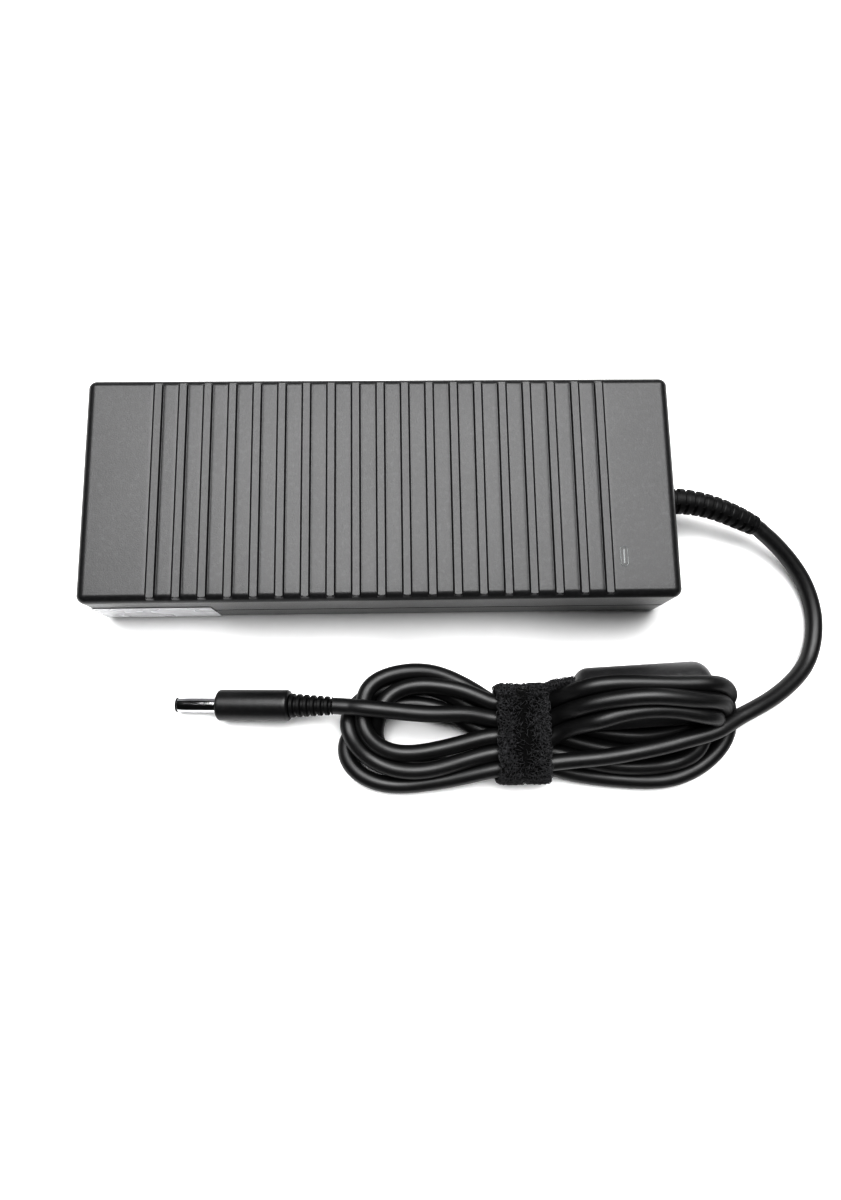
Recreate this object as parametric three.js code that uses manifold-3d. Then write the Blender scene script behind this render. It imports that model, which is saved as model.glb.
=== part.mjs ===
// Laptop power adapter: a ribbed two-shell case with its power supply inside, a bundled output
// cord with a moulded ferrite, a hook-and-loop strap and a coaxial barrel plug.
// Millimetres, +Z up. X runs along the case, from the mains inlet (-X) to the output cord (+X),
// Y runs away from the cord bundle, and Z = 0 is the surface that the rubber feet stand on.

import * as THREE from 'three';
import { mergeVertices } from 'three/addons/utils/BufferGeometryUtils.js';
import Module from 'manifold-3d';

const wasm = await Module();
wasm.setup();

// ---------------------------------------------------------------- driving dimensions

const CASE = { length: 170, width: 66, top: 26, bottom: 0.8, wall: 2.2, corner: 2.6 };
const TOP_EDGE = 2.4;                  // rounding of the long upper edges
const BOTTOM_EDGE = 1.5;               // rounding of the lower edges
const SEAM = { z: 11.6, gap: 0.3 };    // parting line of the two shells
const TONGUE = { thickness: 0.8, height: 2.0, clearance: 0.3 };
const RIBS = { count: 19, pitch: 7.122, width: 2.4, height: 0.5, reach: 1.6 };
const LENS = { x: 68.6, y: -21.4, length: 6.1, width: 2.4, bottom: 15.5 };
const FOOT = { radius: 4.5, x: 73, y: 24, height: 1.6 };
const SEAL = { length: 34.5, thickness: 0.15, top: 17.2, bottom: 2.4 };
const RATING = { length: 96, width: 44, thickness: 0.15 };

const INLET = {
  depth: 18.5, width: 27.4, height: 20, z: 13.4,
  mouth: [24.6, 17.0], mouthDepth: 16.5, keyCut: 3.6,
};
const PIN = { height: 4, width: 2, tip: 4.5, tail: 4.0, spacing: 7, offset: 2 };

const BOARD = { x0: -61.5, x1: 79.5, halfWidth: 29.3, z: 6.4, thickness: 1.6 };
const POST = { radius: 2.6, x: [-56, 74], y: 26.2 };
const PART_GAP = 0.3;                  // clearance between neighbouring pieces
const BULK = { x: -10, y: 13.5, z: 12.6, radius: 8.5, length: 36 };

const CORD = { radius: 2.4, sides: 10 };
const EXIT = { x: 85, y: -1.1, z: 12, neck: 4.1, flange: [1.8, 12, 12] };
const HANK = { top: 14.2, waist: [32.6, 48.4] };
const STRAP = { x0: 33.2, x1: 47.8, y0: -83.8, y1: -57.5, top: 12.2, thickness: 1.3 };
const FERRITE = { x: 76.1, y: -59.8, radius: 9.2, length: 39.6, tilt: 2.8, coreLength: 28 };
const PLUG = { x: -61.75, y: -59.95, z: 2.37, turn: -1.7, pitch: 9 };
const BARREL = { length: 12.9, radius: 2.25, root: 3.6 };
const GRIP = { length: 21.9, radius: 4.55 };
const PLUG_BOOT = { length: 12.4, radius: 3.5, tip: 2.75, ridges: 6 };

// Centre line of the output cord from the case's strain relief, round its free bend on the
// table and up to the bundle's right end.
const LEAD = [
  [115.2, -8.6, 8.5], [119.7, -12.0, 7.2], [124.1, -16.1, 5.8], [128.0, -20.7, 4.5],
  [130.9, -25.6, 3.5], [132.7, -31.0, 2.8], [133.3, -36.9, 2.45], [132.4, -43.1, 2.45],
  [130.0, -48.8, 3.0], [126.1, -53.9, 4.3], [120.9, -58.5, 6.1], [115.1, -62.4, 8.1],
  [109.8, -65.1, 9.8], [105.7, -66.9, 10.9],
];

// Centre line of the case's strain relief, from its wall to where the free cord starts.
const BOOT_PATH = [[85.3, -1.1, 12], [92, -1.3, 12], [99, -2.6, 11.7], [106.4, -5.0, 10.7],
  [114.7, -8.3, 8.7]];

// Centre line of the short free stretch between the bundle and the plug.
const TAIL = [[-10.4, -61.7, 10.5], [-12.4, -61.55, 10.2], [-14.45, -61.37, 9.88]];

const topZ = CASE.top;
const innerHalfWidth = CASE.width / 2 - CASE.wall;
const innerHalfLength = CASE.length / 2 - CASE.wall;
const boardTop = BOARD.z + BOARD.thickness + PART_GAP;

// ---------------------------------------------------------------- materials

const plastic = (color, roughness) => new THREE.MeshStandardMaterial({ color, roughness, metalness: 0 });
const metal = (color, roughness) => new THREE.MeshStandardMaterial({ color, roughness, metalness: 1 });

const finish = {
  shell: () => plastic(0x1b1b1c, 0.55),
  rubber: () => plastic(0x141414, 0.75),
  label: () => plastic(0xb9b9b6, 0.5),
  clear: () => plastic(0x9aa09c, 0.2),
  cord: () => plastic(0x171717, 0.5),
  fabric: () => plastic(0x0e0e0e, 0.95),
  chrome: () => metal(0xd8d8d8, 0.12),
  brass: () => metal(0xb98f45, 0.3),
  aluminium: () => metal(0xb4b6b8, 0.4),
  copper: () => plastic(0x9c4a20, 0.35),
  ferrite: () => plastic(0x2b2c2e, 0.7),
  board: () => plastic(0x2c5a35, 0.5),
  component: () => plastic(0x151516, 0.5),
  film: () => plastic(0xcfc9a8, 0.4),
  yellow: () => plastic(0xb08a28, 0.45),
  blue: () => plastic(0x23558c, 0.5),
};

// ---------------------------------------------------------------- helpers

const pieces = new THREE.Group();

/** Adds one named sub-part to a group, by default the object itself. */
function add(name, geometry, material, parent = pieces) {
  const mesh = new THREE.Mesh(geometry, material);
  mesh.name = name;
  parent.add(mesh);
  return mesh;
}

/** Turns a closed geometry into a solid that can be joined and cut. */
function solid(geometry) {
  let bare = geometry.clone();
  bare.deleteAttribute('normal');
  bare.deleteAttribute('uv');
  bare = mergeVertices(bare, 1e-4);
  const index = bare.index.array;
  const kept = [];
  for (let i = 0; i < index.length; i += 3) {
    const [a, b, c] = [index[i], index[i + 1], index[i + 2]];
    if (a !== b && b !== c && a !== c) kept.push(a, b, c);
  }
  const mesh = new wasm.Mesh({
    numProp: 3,
    vertProperties: new Float32Array(bare.attributes.position.array),
    triVerts: new Uint32Array(kept),
  });
  return new wasm.Manifold(mesh);
}

/** Turns a solid back into a geometry. */
function toGeometry(body) {
  const mesh = body.getMesh();
  const geometry = new THREE.BufferGeometry();
  geometry.setAttribute('position', new THREE.BufferAttribute(new Float32Array(mesh.vertProperties), 3));
  geometry.setIndex(new THREE.BufferAttribute(new Uint32Array(mesh.triVerts), 1));
  geometry.computeVertexNormals();
  return geometry;
}

const join = (...geometries) => geometries.map(solid).reduce((a, b) => a.add(b));
const cut = (body, ...geometries) => geometries.map(solid).reduce((a, b) => a.subtract(b), body);

/** A box given by its lowest and highest corners. */
function block(x0, x1, y0, y1, z0, z1) {
  const geometry = new THREE.BoxGeometry(x1 - x0, y1 - y0, z1 - z0);
  return geometry.translate((x0 + x1) / 2, (y0 + y1) / 2, (z0 + z1) / 2);
}

/** A box centred in plan at (x, y), standing on z. */
function standing(x, y, z, lengthX, lengthY, height) {
  return block(x - lengthX / 2, x + lengthX / 2, y - lengthY / 2, y + lengthY / 2, z, z + height);
}

/** A cylinder along 'x', 'y' or 'z', centred at a point. */
function rod(axis, radius, length, [x, y, z], sides = 24) {
  const geometry = new THREE.CylinderGeometry(radius, radius, length, sides);
  if (axis === 'x') geometry.rotateZ(-Math.PI / 2);
  if (axis === 'z') geometry.rotateX(Math.PI / 2);
  return geometry.translate(x, y, z);
}

/** A turned piece along +X from a closed or axis-to-axis profile of [distance, radius] pairs. */
function turned(profile, sides = 24) {
  const points = profile.map(([distance, radius]) => new THREE.Vector2(radius, distance));
  return new THREE.LatheGeometry(points, sides).rotateZ(-Math.PI / 2);
}

/** A round ring along +X between two distances and two radii. */
function sleeve(start, end, inner, outer, sides = 24) {
  return turned([[start, inner], [start, outer], [end, outer], [end, inner], [start, inner]], sides);
}

/** The outline of a rectangle with round corners, centred at the origin. */
function roundedRectangle(width, height, radius, target = new THREE.Shape()) {
  const [w, h, r] = [width / 2, height / 2, radius];
  target.moveTo(-w + r, -h);
  target.lineTo(w - r, -h).absarc(w - r, -h + r, r, -Math.PI / 2, 0);
  target.lineTo(w, h - r).absarc(w - r, h - r, r, 0, Math.PI / 2);
  target.lineTo(-w + r, h).absarc(-w + r, h - r, r, Math.PI / 2, Math.PI);
  target.lineTo(-w, -h + r).absarc(-w + r, -h + r, r, Math.PI, Math.PI * 1.5);
  return target;
}

/** A slab with round plan corners and edges rounded by `edge`, from z0 to z1. */
function roundedSlab(length, width, corner, edge, z0, z1) {
  const outline = roundedRectangle(length - 2 * edge, width - 2 * edge, Math.max(corner - edge, 0.2));
  const geometry = new THREE.ExtrudeGeometry(outline, {
    depth: z1 - z0 - 2 * edge, bevelEnabled: true, bevelSize: edge, bevelThickness: edge,
    bevelSegments: 4, curveSegments: 4,
  });
  return geometry.translate(0, 0, z0 + edge);
}

/** A prism with round plan corners and sharp edges, from z0 to z1. */
function prism(length, width, corner, z0, z1, [x, y] = [0, 0]) {
  const outline = roundedRectangle(length, width, corner);
  const geometry = new THREE.ExtrudeGeometry(outline, {
    depth: z1 - z0, bevelEnabled: false, curveSegments: 4,
  });
  return geometry.translate(x, y, z0);
}

const curveThrough = (points) => new THREE.CatmullRomCurve3(points.map((p) => new THREE.Vector3(...p)));

/** A round tube along a curve. */
function tube(points, radius, sides, steps) {
  const outline = new THREE.Shape();
  outline.absarc(0, 0, radius, 0, Math.PI * 2);
  return new THREE.ExtrudeGeometry(outline, {
    steps, bevelEnabled: false, curveSegments: sides, extrudePath: curveThrough(points),
  });
}

/** Bends a turned piece, made along +X from 0 to its length, so that its axis follows a curve. */
function bendAlong(geometry, points, length) {
  const curve = curveThrough(points);
  const position = geometry.attributes.position;
  const up = new THREE.Vector3(0, 0, 1);
  for (let i = 0; i < position.count; i += 1) {
    const along = THREE.MathUtils.clamp(position.getX(i) / length, 0, 1);
    const centre = curve.getPointAt(along);
    const forward = curve.getTangentAt(along);
    const side = new THREE.Vector3().crossVectors(up, forward).normalize();
    const rise = new THREE.Vector3().crossVectors(forward, side);
    centre.addScaledVector(side, position.getY(i)).addScaledVector(rise, position.getZ(i));
    centre.addScaledVector(forward, position.getX(i) - along * length);
    position.setXYZ(i, centre.x, centre.y, centre.z);
  }
  return geometry;
}

// ---------------------------------------------------------------- case

const { length: L, width: W, wall, corner } = CASE;
const exitHole = () => rod('x', EXIT.neck + PART_GAP, 6, [EXIT.x - 1, EXIT.y, EXIT.z]);
const inletHole = () => block(-L / 2 - 1, -L / 2 + wall + 0.6,
  -INLET.width / 2 - PART_GAP, INLET.width / 2 + PART_GAP,
  INLET.z - INLET.height / 2 - PART_GAP, INLET.z + INLET.height / 2 + PART_GAP);

function ribs() {
  const grown = solid(roundedSlab(L, W + 2 * RIBS.height, corner, TOP_EDGE + RIBS.height,
    CASE.bottom, topZ + RIBS.height));
  const bars = [];
  for (let i = 0; i < RIBS.count; i += 1) {
    const x = (i - (RIBS.count - 1) / 2) * RIBS.pitch;
    bars.push(block(x - RIBS.width / 2, x + RIBS.width / 2, -W, W,
      topZ - RIBS.reach, topZ + RIBS.height + 1));
  }
  return bars.map((bar) => grown.intersect(solid(bar)));
}

function topCover() {
  const above = block(-L, L, -W, W, SEAM.z + SEAM.gap / 2, topZ + 5);
  let body = solid(roundedSlab(L, W, corner, TOP_EDGE, CASE.bottom, topZ)).intersect(solid(above));
  ribs().forEach((rib) => { body = body.add(rib); });
  const tongueDepth = TONGUE.thickness + TONGUE.clearance;
  return cut(body,
    prism(2 * innerHalfLength, 2 * innerHalfWidth, 1.2, 0, topZ - wall),
    prism(2 * (innerHalfLength + tongueDepth), 2 * (innerHalfWidth + tongueDepth), 1.6,
      0, SEAM.z + TONGUE.height + TONGUE.clearance),
    prism(LENS.width + 0.4, LENS.length + 0.4, LENS.width / 2, topZ - 6, topZ + 3,
      [LENS.x, LENS.y]),
    exitHole(), inletHole());
}

function bottomCover() {
  const slab = solid(roundedSlab(L, W, corner, BOTTOM_EDGE, CASE.bottom, topZ));
  let body = slab.intersect(solid(block(-L, L, -W, W, 0, SEAM.z - SEAM.gap / 2)));
  const tongue = prism(2 * (innerHalfLength + TONGUE.thickness), 2 * (innerHalfWidth + TONGUE.thickness),
    1.4, SEAM.z - 4, SEAM.z + TONGUE.height);
  body = cut(body.add(solid(tongue)),
    prism(2 * innerHalfLength, 2 * innerHalfWidth, 1.2, CASE.bottom + wall, topZ));
  for (const x of POST.x) {
    for (const y of [-POST.y, POST.y]) {
      const height = BOARD.z - PART_GAP - CASE.bottom - wall / 2;
      body = body.add(solid(rod('z', POST.radius, height, [x, y, CASE.bottom + wall / 2 + height / 2])));
    }
  }
  for (const [x, y] of footPlaces()) {
    body = cut(body, rod('z', FOOT.radius + PART_GAP, 2.4, [x, y, CASE.bottom - 0.1]));
  }
  return cut(body, exitHole(), inletHole());
}

function footPlaces() {
  const { x, y } = FOOT;
  return [[-x, -y], [x, -y], [-x, y], [x, y]];
}

/** A disc foot with a small rounded lower edge, standing on z = 0. */
function rubberFoot([x, y]) {
  const { radius, height } = FOOT;
  const profile = [[0, 0], [0, radius - 0.5], [0.5, radius], [height, radius], [height, 0]];
  return turned(profile).rotateY(-Math.PI / 2).translate(x, y, 0);
}

function addCase() {
  add('top_cover', toGeometry(topCover()), finish.shell());
  add('bottom_cover', toGeometry(bottomCover()), finish.shell());
  footPlaces().forEach((place, i) => add(`rubber_foot_${i + 1}`, rubberFoot(place), finish.rubber()));
  const { length, width, thickness } = RATING;
  add('rating_label', prism(length, width, 2, CASE.bottom - thickness - 0.05, CASE.bottom - 0.05),
    finish.label());
  const sealX = -L / 2 + 1.2 + SEAL.length / 2;
  const seal = standing(sealX, -W / 2 - 0.05 - SEAL.thickness / 2, SEAL.bottom,
    SEAL.length, SEAL.thickness, SEAL.top - SEAL.bottom);
  add('seal_label', seal, finish.label());
  add('led_lens', prism(LENS.width, LENS.length, LENS.width / 2 - 0.01, LENS.bottom, topZ - 0.1,
    [LENS.x, LENS.y]), finish.clear());
}

// ---------------------------------------------------------------- mains inlet

function pinPlaces() {
  return {
    line_pin: [-PIN.spacing, INLET.z - PIN.offset],
    neutral_pin: [PIN.spacing, INLET.z - PIN.offset],
    earth_pin: [0, INLET.z + PIN.offset],
  };
}

/** The socket cavity, with its two upper corners cut off so that a plug fits one way round. */
function socketCavity() {
  const [w, h] = [INLET.mouth[0] / 2, INLET.mouth[1] / 2];
  const k = INLET.keyCut;
  const outline = new THREE.Shape([
    new THREE.Vector2(-w, -h), new THREE.Vector2(w, -h), new THREE.Vector2(w, h - k),
    new THREE.Vector2(w - k, h), new THREE.Vector2(-w + k, h), new THREE.Vector2(-w, h - k),
  ]);
  const geometry = new THREE.ExtrudeGeometry(outline, { depth: INLET.mouthDepth + 1, bevelEnabled: false });
  geometry.rotateX(Math.PI / 2).rotateZ(Math.PI / 2);
  return geometry.translate(-L / 2 - 1, 0, INLET.z);
}

function addInlet() {
  const { depth, width, height, z } = INLET;
  const body = block(-L / 2, -L / 2 + depth, -width / 2, width / 2, z - height / 2, z + height / 2);
  let housing = cut(solid(body), socketCavity());
  for (const [name, [y, zPin]] of Object.entries(pinPlaces())) {
    const slot = block(-L / 2 + depth - 5, -L / 2 + depth + 1, y - PIN.width / 2 - 0.15,
      y + PIN.width / 2 + 0.15, zPin - PIN.height / 2 - 0.15, zPin + PIN.height / 2 + 0.15);
    housing = cut(housing, slot);
    const blade = block(-L / 2 + PIN.tip, -L / 2 + depth + PIN.tail, y - PIN.width / 2,
      y + PIN.width / 2, zPin - PIN.height / 2, zPin + PIN.height / 2);
    add(name, blade, finish.brass());
  }
  add('ac_inlet_housing', toGeometry(housing), finish.component());
}

// ---------------------------------------------------------------- power supply

/** A flat E core round a wound centre leg. Returns the core and the winding. */
function woundCore([x, y], { length, leg, window, centre, thickness, build }) {
  const width = 2 * leg + 2 * window + centre;
  const z = boardTop + build + PART_GAP;
  const inner = length - 2 * leg;
  const opening = (side) => standing(x, y + side * (centre + window) / 2, z - 1, inner, window, thickness + 2);
  const core = cut(solid(standing(x, y, z, length, width, thickness)), opening(-1), opening(1));
  const sides = window - 2 * PART_GAP;
  const outer = standing(x, y, boardTop, inner - 2 * PART_GAP, centre + 2 * PART_GAP + 2 * sides,
    thickness + 2 * PART_GAP + 2 * build);
  const bore = standing(x, y, z - PART_GAP, length, centre + 2 * PART_GAP, thickness + 2 * PART_GAP);
  return { core: toGeometry(core), winding: toGeometry(cut(solid(outer), bore)) };
}

/** A package with a row of leads reaching down to the board. */
function leaded([x, y], [lengthX, lengthY, height], leads, alongX) {
  let body = solid(standing(x, y, boardTop + 2, lengthX, lengthY, height));
  for (let i = 0; i < leads; i += 1) {
    const shift = (i - (leads - 1) / 2) * 2.54;
    const lead = standing(x + (alongX ? shift : 0), y + (alongX ? 0 : shift), boardTop, 0.8, 0.8, 2.5);
    body = body.add(solid(lead));
  }
  return toGeometry(body);
}

/** An upright round can with a groove near its foot. */
function can([x, y], radius, height) {
  const profile = [[0, 0], [0, radius], [1.4, radius], [1.9, radius - 0.4], [2.4, radius],
    [height - 0.4, radius], [height, radius - 0.4], [height, 0]];
  return turned(profile).rotateY(-Math.PI / 2).translate(x, y, boardTop);
}

function addBoard() {
  const { x0, x1, halfWidth, z, thickness } = BOARD;
  const bulkSlot = block(BULK.x - BULK.length / 2 - 1, BULK.x + BULK.length / 2 + 1,
    BULK.y - BULK.radius - 0.5, BULK.y + BULK.radius + 0.5, 0, z + 5);
  const board = cut(solid(block(x0, x1, -halfWidth, halfWidth, z, z + thickness)), bulkSlot);
  add('circuit_board', toGeometry(board), finish.board());
  let sheet = solid(block(x0, x1, -halfWidth, halfWidth, 3.3, 3.7));
  for (const x of POST.x) {
    for (const y of [-POST.y, POST.y]) sheet = cut(sheet, rod('z', POST.radius + PART_GAP, 6, [x, y, 4]));
  }
  add('insulating_sheet', toGeometry(sheet), finish.film());
}

function addHeatPath() {
  const top = topZ - wall - PART_GAP;
  const half = innerHalfWidth - 0.5;
  const outer = block(-58, 78, -half, half, 14.2, top);
  const spreader = cut(solid(outer),
    block(-60, 80, -half + 0.7, half - 0.7, 10, top - 0.7),
    prism(LENS.width + 1, LENS.length + 1, LENS.width / 2, 10, topZ, [LENS.x, LENS.y]));
  add('heat_spreader', toGeometry(spreader), finish.aluminium());
  add('primary_heatsink', block(-22, 34, 26.7, 28.3, boardTop, 22), finish.aluminium());
  add('secondary_heatsink', block(47, 48.6, -14, 22, boardTop, 22), finish.aluminium());
  const device = [10, 4.2, 9.5];
  add('pfc_switch', leaded([-14, 24.3], device, 3, true), finish.component());
  add('pfc_diode', leaded([2, 24.3], device, 2, true), finish.component());
  add('main_switch', leaded([24, 24.3], device, 3, true), finish.component());
  add('output_rectifier', leaded([51, 2], [4.2, 10, 9.5], 3, false), finish.component());
}

function addInputFilter() {
  add('fuse', rod('y', 2, 10, [-57, -21, boardTop + 2.1]), finish.film());
  add('varistor', rod('x', 4.6, 4, [-58.5, -9, boardTop + 4.7]), finish.blue());
  add('x_capacitor', standing(-55, 8, boardTop, 7, 18, 12.5), finish.yellow());
  add('y_capacitor_1', rod('x', 3.6, 3.2, [-44, 2, boardTop + 3.7]), finish.blue());
  add('y_capacitor_2', rod('x', 3.6, 3.2, [42, 14, boardTop + 3.7]), finish.blue());
  const choke = woundCore([-40, -15],
    { length: 18, leg: 3, window: 4.2, centre: 6, thickness: 6.4, build: 2.6 });
  add('line_choke_core', choke.core, finish.ferrite());
  add('line_choke_winding', choke.winding, finish.copper());
  add('bridge_rectifier', leaded([-41, 16], [3.6, 18, 10], 4, false), finish.component());
}

function addConverter() {
  const inductor = woundCore([-14, -15],
    { length: 24, leg: 3.5, window: 5, centre: 6.4, thickness: 7, build: 2.9 });
  add('pfc_inductor_core', inductor.core, finish.ferrite());
  add('pfc_inductor_winding', inductor.winding, finish.copper());
  const transformer = woundCore([27, -9],
    { length: 30, leg: 4, window: 5.2, centre: 8, thickness: 7, build: 2.9 });
  add('transformer_core', transformer.core, finish.ferrite());
  add('transformer_winding', transformer.winding, finish.yellow());
  add('bulk_capacitor', rod('x', BULK.radius, BULK.length, [BULK.x, BULK.y, BULK.z], 32),
    finish.component());
  add('controller_chip', standing(5, -16, boardTop, 4, 10, 1.6), finish.component());
  add('optocoupler', standing(27, -26, boardTop, 6.5, 4.6, 3.4), finish.component());
}

function addOutputStage() {
  [[62, 8], [62, 18], [72, 13]].forEach((place, i) => {
    add(`output_capacitor_${i + 1}`, can(place, 4, 13), finish.component());
  });
  const choke = sleeve(-3.5, 3.5, 2.6, 6, 24).rotateY(Math.PI / 2).translate(60, -6, boardTop + 3.6);
  add('output_choke', choke, finish.ferrite());
  const led = turned([[0, 0], [0, 1.9], [0.8, 1.9], [0.8, 1.5], [3.6, 1.5], [5, 0.7], [5, 0]], 16);
  add('indicator_led', led.rotateY(-Math.PI / 2).translate(LENS.x, LENS.y, boardTop), finish.clear());
  const wire = (side) => tube([[72, side * 3 - 5, boardTop + 0.2], [73.2, side * 3 - 4.6, 12],
    [76, side * 2.2 - 3, 13.4], [80, side * 1.4 + EXIT.y, 12.6]], 0.8, 8, 12);
  add('output_wire_positive', wire(1), finish.film());
  add('output_wire_negative', wire(-1), finish.component());
}

// ---------------------------------------------------------------- output cord

/** The case's strain relief: a captive flange, a neck through the wall and a ribbed taper. */
function addStrainRelief() {
  const length = curveThrough(BOOT_PATH).getLength();
  const [thickness, width, height] = EXIT.flange;
  const inside = EXIT.x - wall - PART_GAP;
  const flange = standing(inside - thickness / 2, EXIT.y, EXIT.z - height / 2, thickness, width, height);
  const neck = rod('x', EXIT.neck, 4, [inside + 1.4, EXIT.y, EXIT.z], 20);
  const profile = [[-0.6, 0], [-0.6, 3.9]];
  const segments = 9;
  for (let i = 0; i < segments; i += 1) {
    const radius = 3.9 - 1.1 * (i / (segments - 1));
    const start = (i / segments) * length;
    const step = length / segments;
    profile.push([start + 0.1 * step, radius], [start + 0.62 * step, radius - 0.05]);
    if (i < segments - 1) profile.push([start + 0.7 * step, radius - 0.7], [start + step, radius - 0.75]);
  }
  profile.push([length, 2.7], [length, 0]);
  const taper = bendAlong(turned(profile, 20), BOOT_PATH, length);
  add('cord_strain_relief', toGeometry(join(flange, neck, taper)), finish.rubber());
}

/** The bundle's outer shape: two lobes joined by the waist that the strap holds. */
function hankOutline() {
  const outline = new THREE.Shape();
  outline.moveTo(33, -59.7);
  outline.bezierCurveTo(24, -54, 17, -49.8, 8, -49.8);
  outline.bezierCurveTo(0, -49.8, -9.2, -55, -9.2, -64.5);
  outline.bezierCurveTo(-16, -72, -13, -87, 4, -87.4);
  outline.bezierCurveTo(14, -87.4, 24, -84, 33, -81.6);
  outline.lineTo(48, -81.6);
  outline.bezierCurveTo(60, -84, 68, -87.2, 80, -87.2);
  outline.bezierCurveTo(94, -87.2, 104.7, -78, 104.7, -66.6);
  outline.lineTo(98, -68.6);
  outline.lineTo(57, -70.6);
  outline.bezierCurveTo(53.5, -69, 50, -62, 48, -59.7);
  outline.lineTo(33, -59.7);
  return outline;
}

function addCord() {
  const steps = 22;
  add('cord_lead', tube(LEAD, CORD.radius, CORD.sides, steps), finish.cord());
  add('cord_tail', tube(TAIL, CORD.radius, CORD.sides, 2), finish.cord());
  const slab = new THREE.ExtrudeGeometry(hankOutline(), {
    depth: HANK.top, bevelEnabled: false, curveSegments: 8,
  });
  const [x0, x1] = HANK.waist;
  const floor = STRAP.thickness + PART_GAP;
  const ceiling = STRAP.top - floor;
  const hank = cut(solid(slab), block(x0, x1, -90, -50, -1, floor), block(x0, x1, -90, -50, ceiling, 30));
  add('cord_hank', toGeometry(hank), finish.cord());
  const { x0: s0, x1: s1, y0, y1, top, thickness } = STRAP;
  const ring = cut(solid(block(s0, s1, y0, y1, 0, top)),
    block(s0 - 1, s1 + 1, y0 + thickness, y1 - thickness, thickness, top - thickness));
  add('hank_strap', toGeometry(ring), finish.fabric());
}

/** The moulded ferrite: a cover over a ferrite sleeve, with the cord straight through both. */
function addFerrite() {
  const { x, y, radius, length, tilt, coreLength } = FERRITE;
  const half = length / 2;
  const place = new THREE.Group();
  place.position.set(x, y, radius);
  place.rotation.z = THREE.MathUtils.degToRad(tilt);
  const bore = CORD.radius + PART_GAP;
  const nose = [[0, 4.4], [0.4, 2.9], [1.5, 1.2], [2.8, 0.35], [4.4, 0]];
  const start = nose.map(([inset, drop]) => [-half + inset, radius - drop]);
  const end = nose.map(([inset, drop]) => [half - inset, radius - drop]).reverse();
  const shell = turned([[-half, 0], ...start, ...end, [half, 0]], 32);
  const cover = cut(solid(shell),
    rod('x', bore, length + 2, [0, 0, 0], 16),
    rod('x', radius - 1.2, coreLength + 2 * PART_GAP, [0, 0, 0], 32));
  add('ferrite_cover', toGeometry(cover), finish.shell(), place);
  add('ferrite_core', sleeve(-coreLength / 2, coreLength / 2, bore, radius - 1.6, 32),
    finish.ferrite(), place);
  add('cord_in_ferrite', rod('x', CORD.radius, length, [0, 0, 0], 16), finish.cord(), place);
  pieces.add(place);
}

/** The barrel plug, made along +X from its tip. It lies on the front edge of its grip, and the
 *  cord holds its rear end up. */
function addPlug() {
  const place = new THREE.Group();
  place.position.set(PLUG.x, PLUG.y, PLUG.z);
  place.rotation.order = 'ZYX';
  place.rotation.z = THREE.MathUtils.degToRad(PLUG.turn);
  place.rotation.y = THREE.MathUtils.degToRad(-PLUG.pitch);
  const { length, radius, root } = BARREL;
  const end = length + root;
  add('plug_barrel', sleeve(0.5, end, radius - 0.3, radius), finish.chrome(), place);
  add('plug_insulator', turned([[0, 1.66], [0, radius - 0.05], [0.45, radius - 0.05],
    [0.45, radius - 0.4], [end, radius - 0.4], [end, 1.66], [0, 1.66]]), finish.component(), place);
  add('plug_inner_sleeve', sleeve(0.3, end, 1.36, 1.56), finish.chrome(), place);
  add('plug_centre_pin', turned([[1.2, 0], [1.2, 0.15], [1.5, 0.3], [end, 0.3], [end, 0]], 12),
    finish.brass(), place);
  const gripEnd = length + GRIP.length;
  const pocket = radius + PART_GAP;
  const g = GRIP.radius;
  const grip = turned([[end + PART_GAP, 0], [end + PART_GAP, pocket], [length, pocket], [length, g - 0.7],
    [length + 0.25, g - 0.2], [length + 0.8, g], [gripEnd - 1.2, g], [gripEnd - 0.3, g - 0.45],
    [gripEnd, g - 1.0], [gripEnd, 0]], 28);
  add('plug_grip', grip, finish.shell(), place);
  const start = gripEnd + PART_GAP;
  const step = PLUG_BOOT.length / PLUG_BOOT.ridges;
  const profile = [[start, 0]];
  for (let i = 0; i < PLUG_BOOT.ridges; i += 1) {
    const r = THREE.MathUtils.lerp(PLUG_BOOT.radius, PLUG_BOOT.tip, i / (PLUG_BOOT.ridges - 1));
    const x = start + i * step;
    profile.push([x, r], [x + 0.55 * step, r - 0.05], [x + 0.65 * step, r - 0.5], [x + 0.95 * step, r - 0.5]);
  }
  profile.push([start + PLUG_BOOT.length, 2.5], [start + PLUG_BOOT.length, 0]);
  add('plug_strain_relief', turned(profile, 20), finish.rubber(), place);
  pieces.add(place);
}

addCase();
addInlet();
addBoard();
addHeatPath();
addInputFilter();
addConverter();
addOutputStage();
addStrainRelief();
addCord();
addFerrite();
addPlug();

export default pieces;
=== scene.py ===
import math

import bpy
import numpy as np
from bpy.props import FloatProperty, FloatVectorProperty, IntProperty, PointerProperty
from mathutils import Matrix, Vector


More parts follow.
